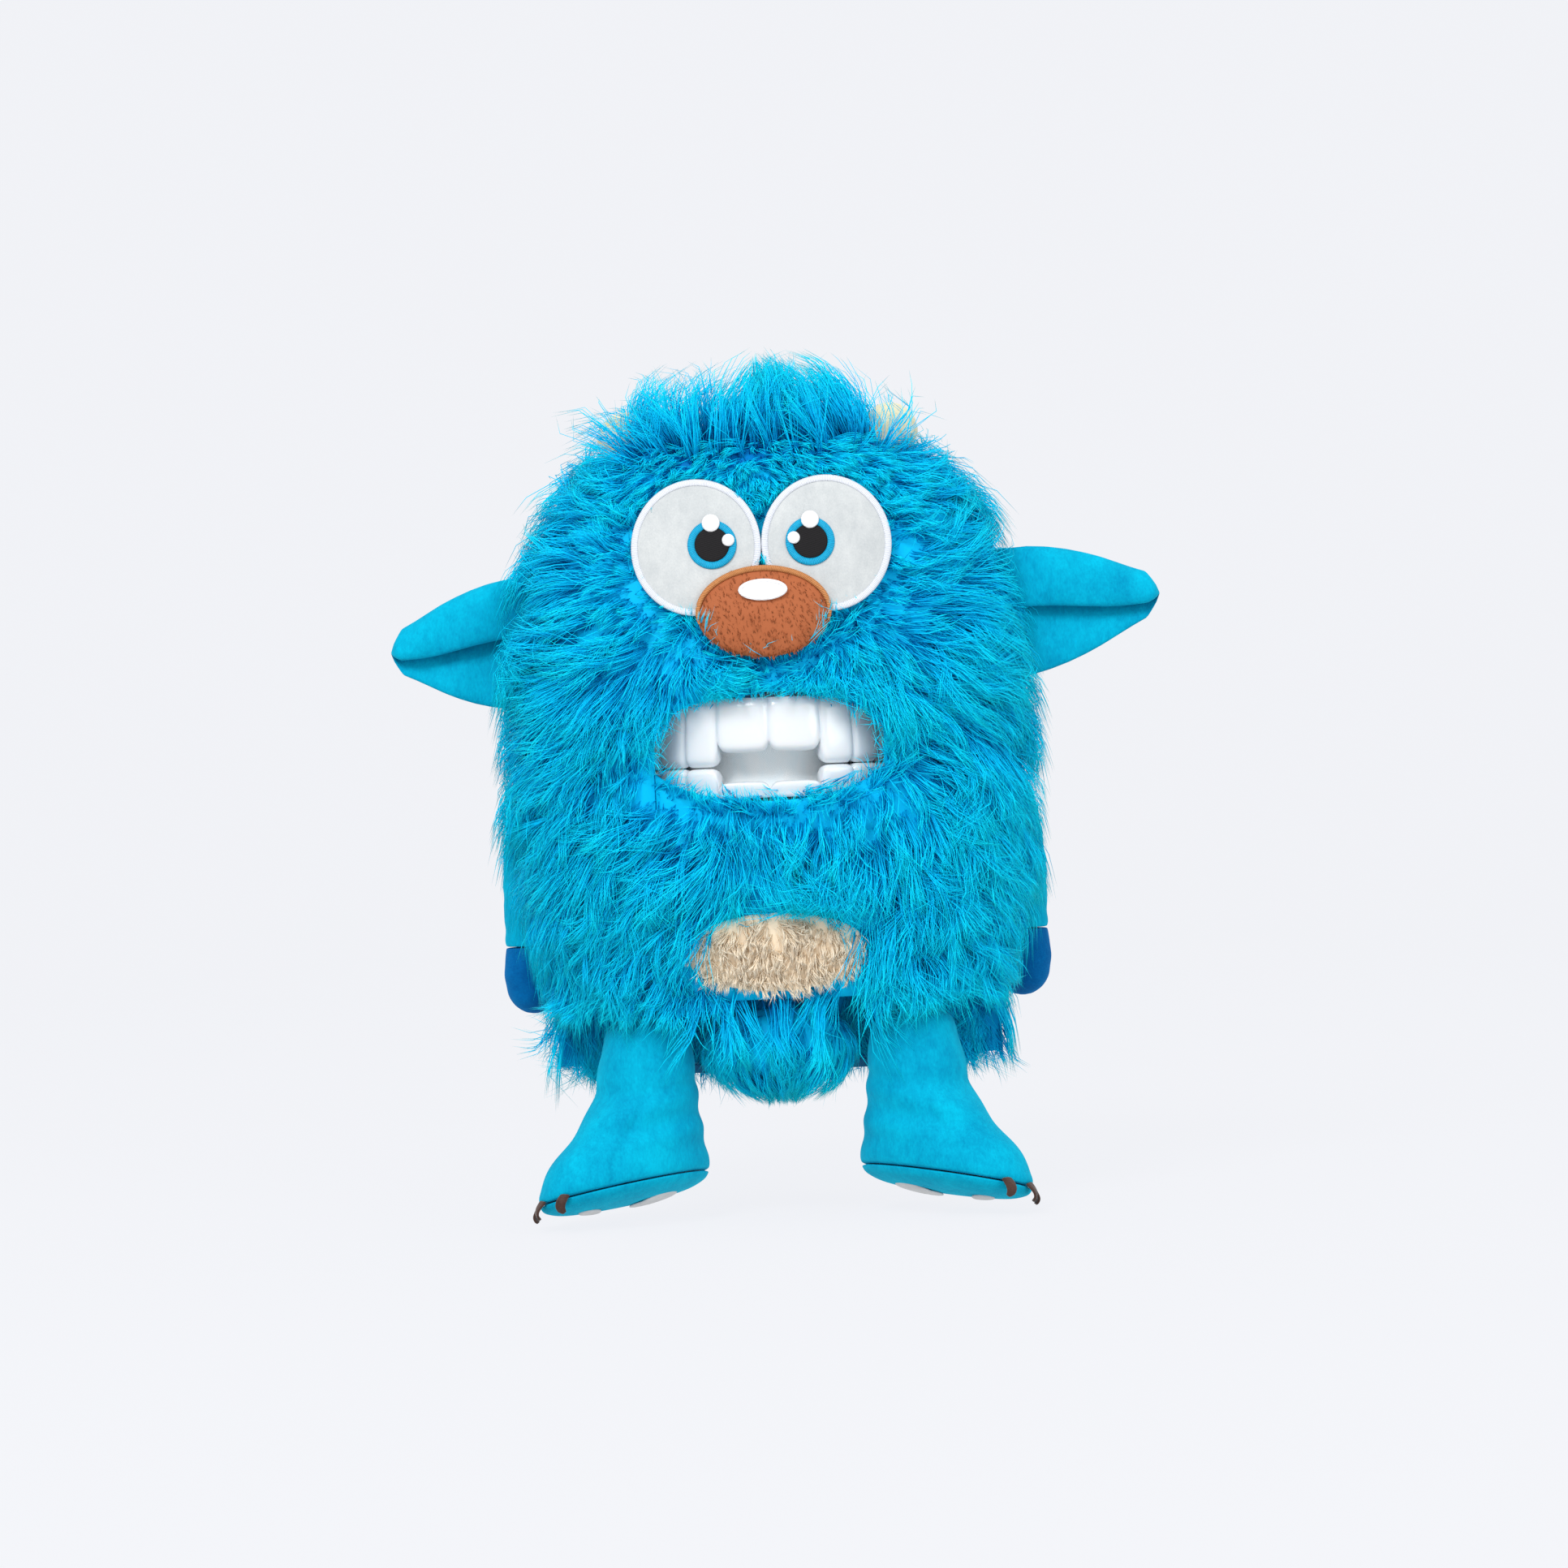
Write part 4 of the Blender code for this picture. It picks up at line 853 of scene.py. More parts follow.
def edgePart(middleX, middleZ, halfX, halfZ, lift, width, height):
    # a stitched edge: a flattened bead carried round an oval
    around, section = circle(192)[:, None], circle(12)[None]
    off, rise = width * np.cos(section), height * np.sin(section)
    x = middleX + (halfX + off) * np.cos(around)
    z = middleZ + (halfZ + off) * np.sin(around)
    rings = np.stack([x, frontY(x, z, lift + rise), z], -1)
    rows, count = rings.shape[:2]
    r, c = np.meshgrid(np.arange(rows), np.arange(count), indexing="ij")
    s, n = (r + 1) % rows, (c + 1) % count
    faces = np.stack([r * count + c, r * count + n, s * count + n, s * count + c], -1).reshape(-1, 4)
    return rings.reshape(-1, 3), faces, {}


def makeEyes():
    # flat ovals laid on one another: felt white with a stitched edge, iris ring, pupil and two highlights
    for side, which in sides:
        low = which.lower()
        x, z, wide, tall = side * eye["x"], eye["z"], eye["halfWidth"] - 0.2, eye["halfHeight"]
        white = makePiece("eyeWhite" + which, [ovalPart(x, z, wide, tall, 0.6, 1.9, 0.7, 0.9)],
            look["whiteFelt"])
        finish(white, "torso", "white_felt", "eye_white_" + low)
        stitch = threadCloth("eyeStitch" + which, (0.52, 0.57, 0.68), (0.80, 0.82, 0.86), x, z, 260)
        edge = makePiece("eyeEdge" + which, [edgePart(x, z, wide - 1.3, tall - 1.3, 2.0, 1.25, 0.62)], stitch)
        finish(edge, "torso", "white_thread")
        x, z, radius = side * eye["irisX"], eye["irisZ"], eye["irisRadius"]
        thread = threadCloth("irisThread" + which, (0.0, 0.15, 0.36), (0.006, 0.46, 0.74), x, z, 96)
        parts = [edgePart(x, z, radius - 1.35, radius - 1.35, 2.75, 1.4, 0.7),
            ovalPart(x, z, radius - 0.8, radius - 0.8, 1.9, 2.7, 0.0, 0.2)]
        finish(makePiece("iris" + which, parts, thread), "torso", "blue_thread", "iris_" + low)
        dark = threadCloth("pupilThread" + which, (0.0015, 0.0015, 0.002), (0.014, 0.013, 0.015), x, z,
            pitch=0.5, shine=0.6)
        radius = eye["pupilRadius"]
        pupil = makePiece("pupil" + which, [ovalPart(x, z, radius, radius, 2.5, 3.5, 0.25, 0.5)], dark)
        finish(pupil, "torso", "black_thread", "pupil_" + low)
        pale = threadCloth("glintThread" + which, (0.72, 0.74, 0.78), (0.95, 0.95, 0.96), x, z, pitch=0.42)
        places = ((0.2, 8.0, 3.3), (-6.0, 1.4, 2.3))
        spots = [ovalPart(x + side * u, z + v, r, r, 3.3, 4.2, 0.5, 0.5, 48) for u, v, r in places]
        finish(makePiece("eyeGlint" + which, spots, pale), "torso", "white_thread", "eye_glint_" + low)


def noseLift(x, z):
    # the nose stands off the face by lift + wall + dome * (1 - r^2)
    share = (x / nose["halfWidth"]) ** 2 + ((z - nose["z"]) / nose["halfHeight"]) ** 2
    return nose["lift"] + nose["wall"] + nose["dome"] * (1.0 - np.minimum(share, 1.0))


def onFront(liftOf):
    # a surface lifted off the front of the body, for growLocks: u is across and v is up, in millimetres
    def place(u, v, lift):
        def at(x, z):
            return np.stack([x, frontY(x, z, liftOf(x, z)), z], -1)
        point = at(u, v)
        normal = np.cross(at(u, v + 0.4) - point, at(u + 0.4, v) - point)
        normal = unit(normal)
        outward = np.sign(normal[..., 1:2])
        return point - normal * lift[..., None] * outward, -normal * outward
    return place


def ovalLocks(middleZ, halfX, halfZ, spacing):
    # a shaken lattice inside an oval
    x, z = np.meshgrid(np.arange(-halfX, halfX, spacing), np.arange(-halfZ, halfZ, spacing * 0.9))
    x = (x + 0.5 * spacing * (np.arange(x.shape[0]) % 2)[:, None]).ravel()
    z = z.ravel()
    x, z = x + rng.uniform(-0.4, 0.4, x.size) * spacing, z + rng.uniform(-0.4, 0.4, x.size) * spacing
    inside = (x / halfX) ** 2 + (z / halfZ) ** 2 < 0.97
    return x[inside], z[inside] + middleZ


def same(value):
    # a length round that is the same everywhere, for growLocks
    return lambda v: np.full(np.shape(v), value)


def makeNose():
    # a dome with a short nap, a cord over its top edge and a stitched highlight
    u, v = ovalLocks(nose["z"], nose["halfWidth"] - 0.6, nose["halfHeight"] - 0.6, 1.7)

    def coat(x, z, side):
        glint = oval(x, z, 0.0, nose["z"] + 8.0, 9.0, 3.9)
        length = 2.4 - 1.2 * smooth(3.0, 0.0, glint)
        return 0.5 * side * smooth(0.0, 20.0, np.abs(x)), length, np.full(x.shape, 0.9), np.ones(x.shape)

    rules = dict(fur, spacing=1.7, subLocks=2, hairsEach=5, steps=3, calm=0.35)
    ways = np.where(u < 0, -1.0, 1.0)
    path, normal, shade = growLocks(onFront(noseLift), same(1.0), coat, u, v, ways, rules)
    top = nose["lift"] + nose["wall"]
    cloth = ovalPart(0.0, nose["z"], nose["halfWidth"], nose["halfHeight"], 2.0, top, nose["dome"], 1.4)
    cloth = tinted(cloth, 0.6, 0.5)
    pile = hairPart(path, normal, 0.5 + 0.3 * (shade - 0.5), 0.15)
    # the painted shade at the roots of the nap is kept light
    pile[2]["along"] = 0.5 + 0.35 * pile[2]["along"]
    piece = makePiece("nosePlush", [cloth, pile], look["nosePile"])
    finish(piece, "torso", "brown_plush", "nose", fill=0.7)
    # the cord over its top, from one side to the other
    around = np.linspace(math.radians(-14.0), math.radians(194.0), 150)[:, None]
    section = circle(12)[None]
    off, rise = 1.15 * np.cos(section), 1.0 * np.sin(section)
    taper = np.sin(np.linspace(0.0, math.pi, 150))[:, None] ** 0.25
    x = (nose["halfWidth"] - 0.4 + off * taper) * np.cos(around)
    z = nose["z"] + (nose["halfHeight"] - 0.4 + off * taper) * np.sin(around)
    rings = np.stack([x, frontY(x, z, nose["lift"] + 2.0 + rise * taper), z], -1)
    dark, light = (0.30, 0.10, 0.025), (0.62, 0.27, 0.10)
    cord = threadCloth("noseCordThread", dark, light, 0.0, nose["z"], 230, shine=0.45)
    finish(makePiece("noseCord", [shellPart(rings)], cord), "torso", "brown_plush")
    pale = threadCloth("noseGlintThread", (0.74, 0.76, 0.80), (0.93, 0.94, 0.96), 0.0, nose["z"], pitch=0.5)
    shine = ovalPart(0.0, nose["z"] + 8.0, 9.0, 3.9, 6.6, 8.4, 0.5, 0.6, 72)
    edge = edgePart(0.0, nose["z"] + 8.0, 8.2, 3.2, 8.3, 0.8, 0.5)
    finish(makePiece("noseGlint", [shine, edge], pale), "torso", "white_thread", "nose_glint")


def makePatch():
    # an oval of long tan pile, sunk among the fur
    u, v = ovalLocks(patch["z"], patch["halfWidth"] - 1.0, patch["halfHeight"] - 1.0, 2.9)

    def coat(x, z, side):
        wander = drift(x * 2.2, z * 2.2, 0)
        rim = smooth(0.0, -7.0, patchGap(x, z))
        return 0.1 + 0.35 * wander, 6.2 + 2.0 * rim + wander, 4.2 + 2.0 * rim, np.full(x.shape, 0.85)

    rules = dict(fur, spacing=2.9, subLocks=3, hairsEach=5, steps=4)
    place = onFront(lambda x, z: -4.0 + 0.0 * x)
    path, normal, shade = growLocks(place, same(1.0), coat, u, v, np.where(u < 0, -1.0, 1.0), rules)
    cloth = ovalPart(0.0, patch["z"], patch["halfWidth"], patch["halfHeight"], -5.0, -3.6, 0.3, 0.8)
    cloth = tinted(cloth, 0.5, 0.6)
    pile = hairPart(path, normal, 0.3 + 0.6 * shade, 0.2)
    # the painted shade at the roots of the pile is kept light
    pile[2]["along"] = 0.3 + 0.7 * pile[2]["along"]
    piece = makePiece("bellyPatch", [cloth, pile], look["tanPile"])
    finish(piece, "torso", "tan_plush", "belly_patch")


seat = dict(y=-38.6, z=8.5, halfX=29.0, halfY=17.0, halfZ=16.0)


def seatPlace(share, run, lift):
    # a stuffed oval pouch: half * cos(tilt)^0.8 round, half * sin(tilt) high
    shrink = 3.0
    tilt = np.clip(run / (seat["halfZ"] - shrink), -1.45, 1.45)
    turn = share * 2.0 * math.pi
    ring = np.cos(tilt) ** 0.8
    wide, deep = seat["halfX"] - shrink, seat["halfY"] - shrink
    point = np.stack([wide * ring * np.sin(turn), seat["y"] - deep * ring * np.cos(turn),
        seat["z"] + (seat["halfZ"] - shrink) * np.sin(tilt)], -1)
    normal = np.stack([ring * np.sin(turn) / wide, -ring * np.cos(turn) / deep, np.sin(tilt) / seat["halfZ"]],
        -1)
    normal = unit(normal)
    return point + normal * lift[..., None], normal


def makeSeat():
    # the furry pouch that hangs between the legs
    run = np.arange(-15.0, 13.0, 5.2)
    row = np.repeat(np.arange(len(run)), 22)
    share = (np.tile(np.arange(22), len(run)) + 0.5 * (row % 2) + rng.uniform(-0.4, 0.4, len(row))) / 22.0

    def coat(u, v, side):
        length = 13.0 + 3.0 * smooth(4.0, -10.0, v)
        return 0.25 * drift(u * 120.0, v, 1), length, np.full(u.shape, 4.6), np.ones(u.shape)

    rules = dict(fur, spacing=5.4, subLocks=3, hairsEach=8, steps=4)
    path, normal, shade = growLocks(seatPlace, same(125.0), coat, share, run[row], np.ones(len(row)), rules)
    drop = np.linspace(0.0, 1.0, 4) ** 1.6 * 6.0
    path = path - np.stack([0 * drop, 0 * drop, drop], -1)[None]
    keep = path[:, :, 2].min(1) > -19.0
    turn = np.linspace(0.0, 1.0, 41)[:-1][None]
    rows = np.linspace(-1.4, 1.4, 13)[:, None] * (seat["halfZ"] - 3.0)
    rings, _ = seatPlace(turn + 0.0 * rows, rows + 0.0 * turn, np.zeros((13, 40)))
    cloth = tinted(shellPart(rings), 0.34, 0.45)
    hair = hairPart(path[keep], normal[keep], shade[keep], fur["radius"])
    piece = makePiece("seatFur", [cloth, hair], look["blueFur"])
    finish(piece, "torso", "blue_fur", "seat_fur", fill=0.6)


teeth = dict(
    halfWidth=44.4, depth=27.9, backY=-38.0, wall=6.0, gumStep=5.2, gumBack=8.0, groove=1.05,
    edges=(0.0, 19.5, 31.5, 41.0, 44.9), columns=23,
    upper=dict(tips=(117.0, 112.0, 112.0, 112.0), lip=137.0, gum=147.0),
    lower=dict(tips=(106.4, 111.6, 111.8, 111.8), lip=100.3, gum=92.0),
)


def toothRow(rules):
    # pillows on one arch: the push is -groove * |share|^7, and each tip is cut round at its corners
    edges = np.arcsin(np.array(teeth["edges"]) / 45.0)
    share = np.tile(np.linspace(-0.985, 0.985, teeth["columns"]), 4)
    tooth = np.repeat(np.arange(4), teeth["columns"])
    turn = edges[tooth] + (edges[tooth + 1] - edges[tooth]) * (share + 1.0) / 2.0
    tips = np.array(rules["tips"])[tooth]
    halves = ((-1.0, turn), (-1.0, share), (1.0, tips))
    turn, share, tips = (np.concatenate([sign * a[::-1], a]) for sign, a in halves)
    turn, share, tips = turn[:, None], share[:, None], tips[:, None]
    up = math.copysign(1.0, rules["lip"] - rules["tips"][0])
    front = smooth(34.0, 20.0, teeth["halfWidth"] * np.abs(np.sin(turn)))
    tip = tips + up * (0.3 * share ** 2 * front + (0.9 + 1.7 * front) * np.abs(share) ** 9)
    grow = rules["lip"] - tip
    groove = -teeth["groove"] * np.abs(share) ** 7
    q = np.array([0.0, 0.012, 0.035, 0.07, 0.12, 0.18, 0.26, 0.4, 0.6, 0.8, 1.0])[None]
    bulge = 0.75 * np.sin(np.pi * np.minimum(q * 1.15 + 0.2, 1.0)) - 1.9 * np.maximum(0.0,
        1.0 - q / 0.12) ** 2
    z = [tip + grow * q, np.full(tip.shape, rules["lip"]), np.full(tip.shape, rules["gum"]),
        np.full(tip.shape, rules["gum"])]
    push = [groove + bulge, *[np.full(tip.shape, -teeth[k]) for k in ("gumStep", "gumStep", "gumBack")]]
    z += [rules["lip"] - 0.3 * grow, tip + 0.1 * grow, tip + 0.02 * grow]
    push += [np.full(tip.shape, v) for v in (-teeth["wall"], 1.2 - teeth["wall"], 2.2 - teeth["wall"])]
    z, push = np.concatenate(z, 1), np.concatenate(push, 1)
    wide, deep = teeth["halfWidth"] + push, teeth["depth"] + push
    rings = np.stack([wide * np.sin(turn), teeth["backY"] - deep * np.cos(turn), z], -1)
    # painted shade: darker towards the sides of each tooth, in the grooves between them, and on the surfaces
    # set back behind the teeth's faces
    hollow = np.clip(np.abs(share) ** 14 * 0.7, 0.0, 1.0) * np.ones(z.shape)
    hollow = np.maximum(hollow, (push < -1.5) * 0.5)
    points, faces, _ = shellPart(rings)
    return points, faces, dict(hollow=np.concatenate([hollow.ravel(), [0.5, 0.5]]))


pocket = dict(
    halfX=36.6, halfY=20.6, middleZ=112.0, halfZ=9.5, fold=7.0, wall=0.7, halfTurn=1.42,
    flat=(0.078, 0.0235), stretch=((0, -0.05, 0.104), (0, -0.05, 0.120)),
)


def makePocket():
    # the grey cloth behind the teeth, folded inward between the two rows; it is given the jaw and the body
    # but left unattached
    turn = np.linspace(-pocket["halfTurn"], pocket["halfTurn"], 61)[None]
    high = np.linspace(-1.0, 1.0, 25)[:, None]
    ripple = 0.35 * np.sin(9.0 * turn + 2.0 * high) * (1.0 - high ** 2)

    def sheet(grow):
        fold = pocket["fold"] * (1.0 - np.abs(high) ** 2.2) + ripple - grow
        x = (pocket["halfX"] - fold * 0.8) * np.sin(turn)
        y = teeth["backY"] - (pocket["halfY"] - fold) * np.cos(turn)
        z = pocket["middleZ"] + pocket["halfZ"] * high
        return np.stack(np.broadcast_arrays(x, y, z), -1)

    points, faces = slabParts(sheet(0.0), sheet(-pocket["wall"]))
    piece = makePiece("mouthPocket", [(points, faces, {})], look["paleCloth"])
    finish(piece, ("jaw", "torso", *pocket["stretch"]), "grey_cloth")


edges = dict(spacing=4.3, mouth=8.0, nose=6.5, eye=5.0, patch=4.5)


def edgeCoat(share, run, side):
    # short hair that leans over the edge of whatever it surrounds: angle = from straight down towards the aim
    comb, length, loft, lay = bodyCoat(share, run, side)
    point = bodyFlat(share, run)
    x, z = point[..., 0], point[..., 2]
    wander = side * drift(x * 3.0, z * 3.0, 0)
    mouthAway, eyeAway, noseAway, patchAway = (gap(x, z) for gap in (mouthGap, eyeGap, noseGap, patchGap))
    corner = smooth(24.0, 40.0, np.abs(x))
    hang = np.where(z < 36.0, 21.0, 11.0)
    # the gap, where it counts, the aim across and up, how far the hair goes past the gap, and its loft
    aims = (
        (patchAway, (patchAway < edges["patch"]) & (z < panel["beltZ"]), x, z - 9.0, hang, 7.0),
        (eyeAway, (eyeAway < edges["eye"]) & (z < 200.0), np.sign(x) * eye["x"], eye["z"], 5.0, 9.6),
        (noseAway, (noseAway < edges["nose"]) & (z < nose["z"]), 0.6 * x, nose["z"] + 4.0, 9.5, 17.0),
        (mouthAway, mouthAway < edges["mouth"], 0.8 * x, 119.0, 6.0 + 8.0 * corner, 9.0),
    )
    for gap, near, aimX, aimZ, reach, rise in aims:
        comb = np.where(near, np.arctan2(side * (aimX - x), z - aimZ) + 0.4 * wander, comb)
        length, loft = np.where(near, np.maximum(gap, 0.0) + reach, length), np.where(near, rise, loft)
    return comb, length, loft, lay


def makeEdges():
    # extra small locks round the mouth, nose, eyes and patch, and on the forehead and upper lip
    share, run = lockCentres(edges["spacing"])
    point = bodyFlat(share, run)
    x, z = point[:, 0], point[:, 2]
    turn, side = roundBody(share)
    mouthAway, eyeAway, noseAway, patchAway = (gap(x, z) for gap in (mouthGap, eyeGap, noseGap, patchGap))
    clear = (mouthAway > 0.2) & (eyeAway > np.where(z > 196.0, 0.4, -1.5))
    clear &= (noseAway > -0.5) & (patchAway > -1.5)
    near = (mouthAway < edges["mouth"]) | (eyeAway < edges["eye"]) | (patchAway < edges["patch"])
    near |= (noseAway < edges["nose"]) & (z < nose["z"])
    near |= (np.abs(x) < 52.0) & (z > 206.0) & (z < 234.0)
    near |= (np.abs(x) < 34.0) & (z > 136.0) & (z < 160.0)
    mask = clear & near & (np.cos(turn) > 0.3) & (z > 27.2)
    chin = (np.abs(x) < 44.5) & (z < body["lipLowZ"] + lipCurve(x) + 1.0) & (z < 112.0) & (z > 87.0)
    for name, rider, part in (("edgeFur", "torso", mask & ~chin), ("chinEdgeFur", "jaw", mask & chin)):
        rules = dict(spacing=edges["spacing"], subLocks=2, hairsEach=9, steps=4)
        pile = grow(edgeCoat, share[part], run[part], side[part], **rules)
        finish(makePiece(name, [pile], look["blueFur"]), rider, "blue_fur")
        print("fur", name, int(part.sum()), "locks")


under = dict(
    backY=-16.6, bulge=13.0, reach=21.0, halfX=84.0, lowZ=1.0, highZ=27.5, spacingX=6.5, spacingZ=5.0,
)


def makeUnderCloth():
    # the cloth behind the legs, with locks hanging from it: y = back - bulge * exp(-(x / reach)^4)
    def at(x, z):
        y = under["backY"] - under["bulge"] * np.exp(-((x / under["reach"]) ** 4))
        return np.stack(np.broadcast_arrays(x, y, z), -1)

    def place(u, v, lift):
        point = at(u, v)
        normal = np.zeros(point.shape)
        normal[..., 1] = -1.0
        return point + normal * lift[..., None] * 0.6, normal

    def coat(x, z, side):
        length = np.clip(z + 9.0, 8.0, 24.0)
        return 0.2 * drift(x * 2.0, z, 0), length, np.full(x.shape, 4.0), np.ones(x.shape)

    x, z = np.meshgrid(np.arange(-78.0, 79.0, under["spacingX"]), np.arange(5.0, 27.0, under["spacingZ"]))
    x, z = x.ravel() + rng.uniform(-2.5, 2.5, x.size), z.ravel() + rng.uniform(-2.0, 2.0, x.size)
    rules = dict(fur, spacing=6.6, subLocks=3, hairsEach=8, steps=4)
    path, normal, shade = growLocks(place, same(1.0), coat, x, z, np.sign(x), rules)
    x = np.linspace(-under["halfX"], under["halfX"], 41)[None]
    z = np.linspace(under["lowZ"], under["highZ"], 8)[:, None]
    points, faces = slabParts(at(x, z), at(x, z) + np.array([0.0, 1.0, 0.0]))
    hairs = hairPart(path, normal, shade * 0.9, fur["radius"])
    cloth = (points, faces, plainFields(points, 0.2, 0.4))
    finish(makePiece("underCloth", [cloth, hairs], look["blueFur"]), "torso", "blue_fur")


def makeTeeth():
    # one moulded row on the body and one on the jaw
    for name, rider in (("upper", "torso"), ("lower", "jaw")):
        row = makePiece(name + "Teeth", [toothRow(teeth[name])], look["toothRubber"])
        finish(row, rider, "tooth_rubber", name + "_teeth")


ear = dict(
    pivotY=-12.0, pivotZ=165.0, rootX=88.6, tilt=2.6, tipX=dict(Left=150.5, Right=142.4), rise=dict(Left=4.0,
        Right=0.5),
    outline=((0.0, 0.12, 0.25, 0.36, 0.47, 0.57, 0.66, 0.75, 0.84, 0.91, 0.955, 0.985, 1.0),
             (24.6, 24.6, 24.2, 23.0, 21.2, 19.0, 16.6, 13.8, 11.0, 9.0, 7.6, 6.2, 5.0)),
    # the section, from the lower edge up the front, into the fold, round the rolled rim and down the back
    section=((0.2, -1.0), (2.2, -0.94), (2.6, -0.62), (1.2, -0.2), (-1.2, 0.1), (-2.8, 0.3), (-2.2, 0.42),
             (1.2, 0.36), (5.2, 0.12), (8.4, 0.14), (9.8, 0.42), (8.2, 0.8), (4.2, 1.0), (0.0, 0.98),
             (-3.8, 0.8), (-5.2, 0.34), (-4.6, -0.2), (-2.4, -0.82)),
)


def makeEars():
    # the section carried out to the tip: its height follows the outline, and its fold closes towards the tip
    section = roundKnots(ear["section"], 72)
    tip = 1.0 - 0.1 * np.cos(np.linspace(0.0, math.pi / 2, 9)[1:])
    along = np.concatenate([np.linspace(0.0, 0.9, 30), tip])[:, None]
    along = np.minimum(along, 0.9995)
    for side, which in sides:
        half = np.interp(along[:, 0], *ear["outline"])[:, None] * np.minimum(1.0, (1.0 - along) * 13.0) ** 0.5
        opening = (0.42 + 0.58 * smooth(0.0, 0.4, along)) * (1.0 - 0.35 * along)
        opening = opening * np.minimum(1.0, (1.0 - along) * 22.0) ** 0.5
        depth = section[None, :, 0] * opening
        high = section[None, :, 1] - 0.55 * along ** 2 * (1.0 - section[None, :, 1] ** 2)
        ripple = 0.5 * np.sin(along * 17.0 + high * 2.3) * smooth(0.05, 0.3, along) * smooth(1.0, 0.8, along)
        root = ear["rootX"] - 4.5 * high ** 2
        x = root + (ear["tipX"][which] - root) * along
        lean = side * ear["tilt"] * (0.6 + along)
        z = ear["pivotZ"] - 1.0 + ear["rise"][which] * along + lean + half * high
        y = ear["pivotY"] + 1.6 - depth - ripple
        rings = np.stack([x, y, z], -1)
        piece = makePiece("ear" + which, [mirrorPart(shellPart(rings), side)], look["turquoisePlush"])
        finish(piece, which.lower() + "_ear", "turquoise_plush", "ear_" + which.lower(), fill=0.4)


horn = dict(
    x=48.5, y=-13.0, lean=0.5,
    # up the horn: height and radius
    shape=((-3.0, 10.8), (2.0, 10.7), (6.0, 10.2), (9.5, 8.8), (12.0, 6.6), (13.6, 3.8), (14.2, 1.0)),
)


def makeHorns():
    # a rounded knob that stands on the head and leans out
    up = np.array([math.sin(horn["lean"]), 0.0, math.cos(horn["lean"])])
    out = np.array([math.cos(horn["lean"]), 0.0, -math.sin(horn["lean"])])
    shape = throughKnots(horn["shape"], 26)
    turn = circle(48)[None]
    plan = (horn["x"] / body["halfWidth"]) ** 2.4
    plan += (abs(horn["y"] - body["middleY"]) / body["halfDepth"]) ** 2.4
    foot = np.array([horn["x"], horn["y"], 108.5 + 135.0 * (1.0 - plan ** (2.8 / 2.4)) ** (1.0 / 2.8) - 1.0])
    wide = shape[:, 1:2] + 0.18 * np.sin(5.0 * turn + shape[:, :1]) * smooth(16.0, 8.0, shape[:, :1])
    rings = foot + shape[:, :1, None] * up + (wide * np.cos(turn))[..., None] * out
    rings = rings + (wide * np.sin(turn))[..., None] * np.array([0.0, 1.0, 0.0])
    pair("horn", [shellPart(rings)], "creamPlush", "torso", "cream_plush", "horn", 0.8)


arm = dict(
    x=94.3, y=14.1, z=98.0, outX=0.785, outY=0.62,
    # down the arm: drop, half thickness and half width
    sleeve=((-6.2, 1.2, 1.2), (-5.0, 3.6, 3.9), (0.0, 6.2, 7.2), (10.0, 7.8, 10.4), (26.0, 8.8, 12.5),
            (44.0, 8.9, 12.5), (50.6, 8.7, 12.2), (51.6, 8.0, 11.4)),
    mitt=((52.2, 8.0, 11.6), (53.4, 9.0, 12.4), (62.0, 9.5, 13.4), (69.0, 9.0, 12.4), (74.0, 6.9, 9.6),
          (77.0, 3.6, 5.2), (77.9, 1.0, 1.4)),
    # the gathered cloth: depth into the body and radius
    gather=((-9.1, 2.0), (-9.1, 6.2), (-8.4, 7.2), (-7.7, 6.2), (-7.6, 2.0)),
)


def makeArms():
    # limbs that hang from the shoulder, flattened against the body
    out = np.array([arm["outX"], arm["outY"], 0.0])
    along = np.array([-arm["outY"], arm["outX"], 0.0])
    down = np.array([0.0, 0.0, -1.0])
    turn = circle(56)[None]
    middle = np.array([arm["x"], arm["y"], arm["z"]])

    def limb(knots, rows, wrinkle):
        # drop, half thickness and half width carried down the arm, with soft creases across it
        shape = throughKnots(knots, rows)
        drop, first, second = shape[:, :1], shape[:, 1:2], shape[:, 2:3]
        crease = np.sin(drop * 0.55 + 1.3 * np.sin(turn)) + 0.6 * np.sin(drop * 0.9 + 2.0 * np.cos(turn))
        thick, wide = first + wrinkle * crease, second + wrinkle * crease
        rings = middle + drop[..., None] * down + (thick * np.cos(turn))[..., None] * out
        return shellPart(rings + (wide * np.sin(turn))[..., None] * along)

    depth, radius = throughKnots(arm["gather"], 17).T[:, :, None]
    pleat = (radius + 0.25 * np.sin(14.0 * turn) * smooth(1.0, 6.0, radius))[..., None]
    disc = middle + out * depth[..., None] + np.cos(turn)[..., None] * pleat * along
    disc = shellPart(disc - np.sin(turn)[..., None] * pleat * down)
    pair("arm", [limb(arm["sleeve"], 60, 0.16)], "turquoisePlush", "arm", "turquoise_plush", "arm", 0.5)
    pair("mitt", [limb(arm["mitt"], 44, 0.1)], "navyPlush", "arm", "navy_plush", "mitt", 0.6)
    pair("shoulder", [disc], "turquoisePlush", "shoulder", "turquoise_plush", "shoulder_gather")


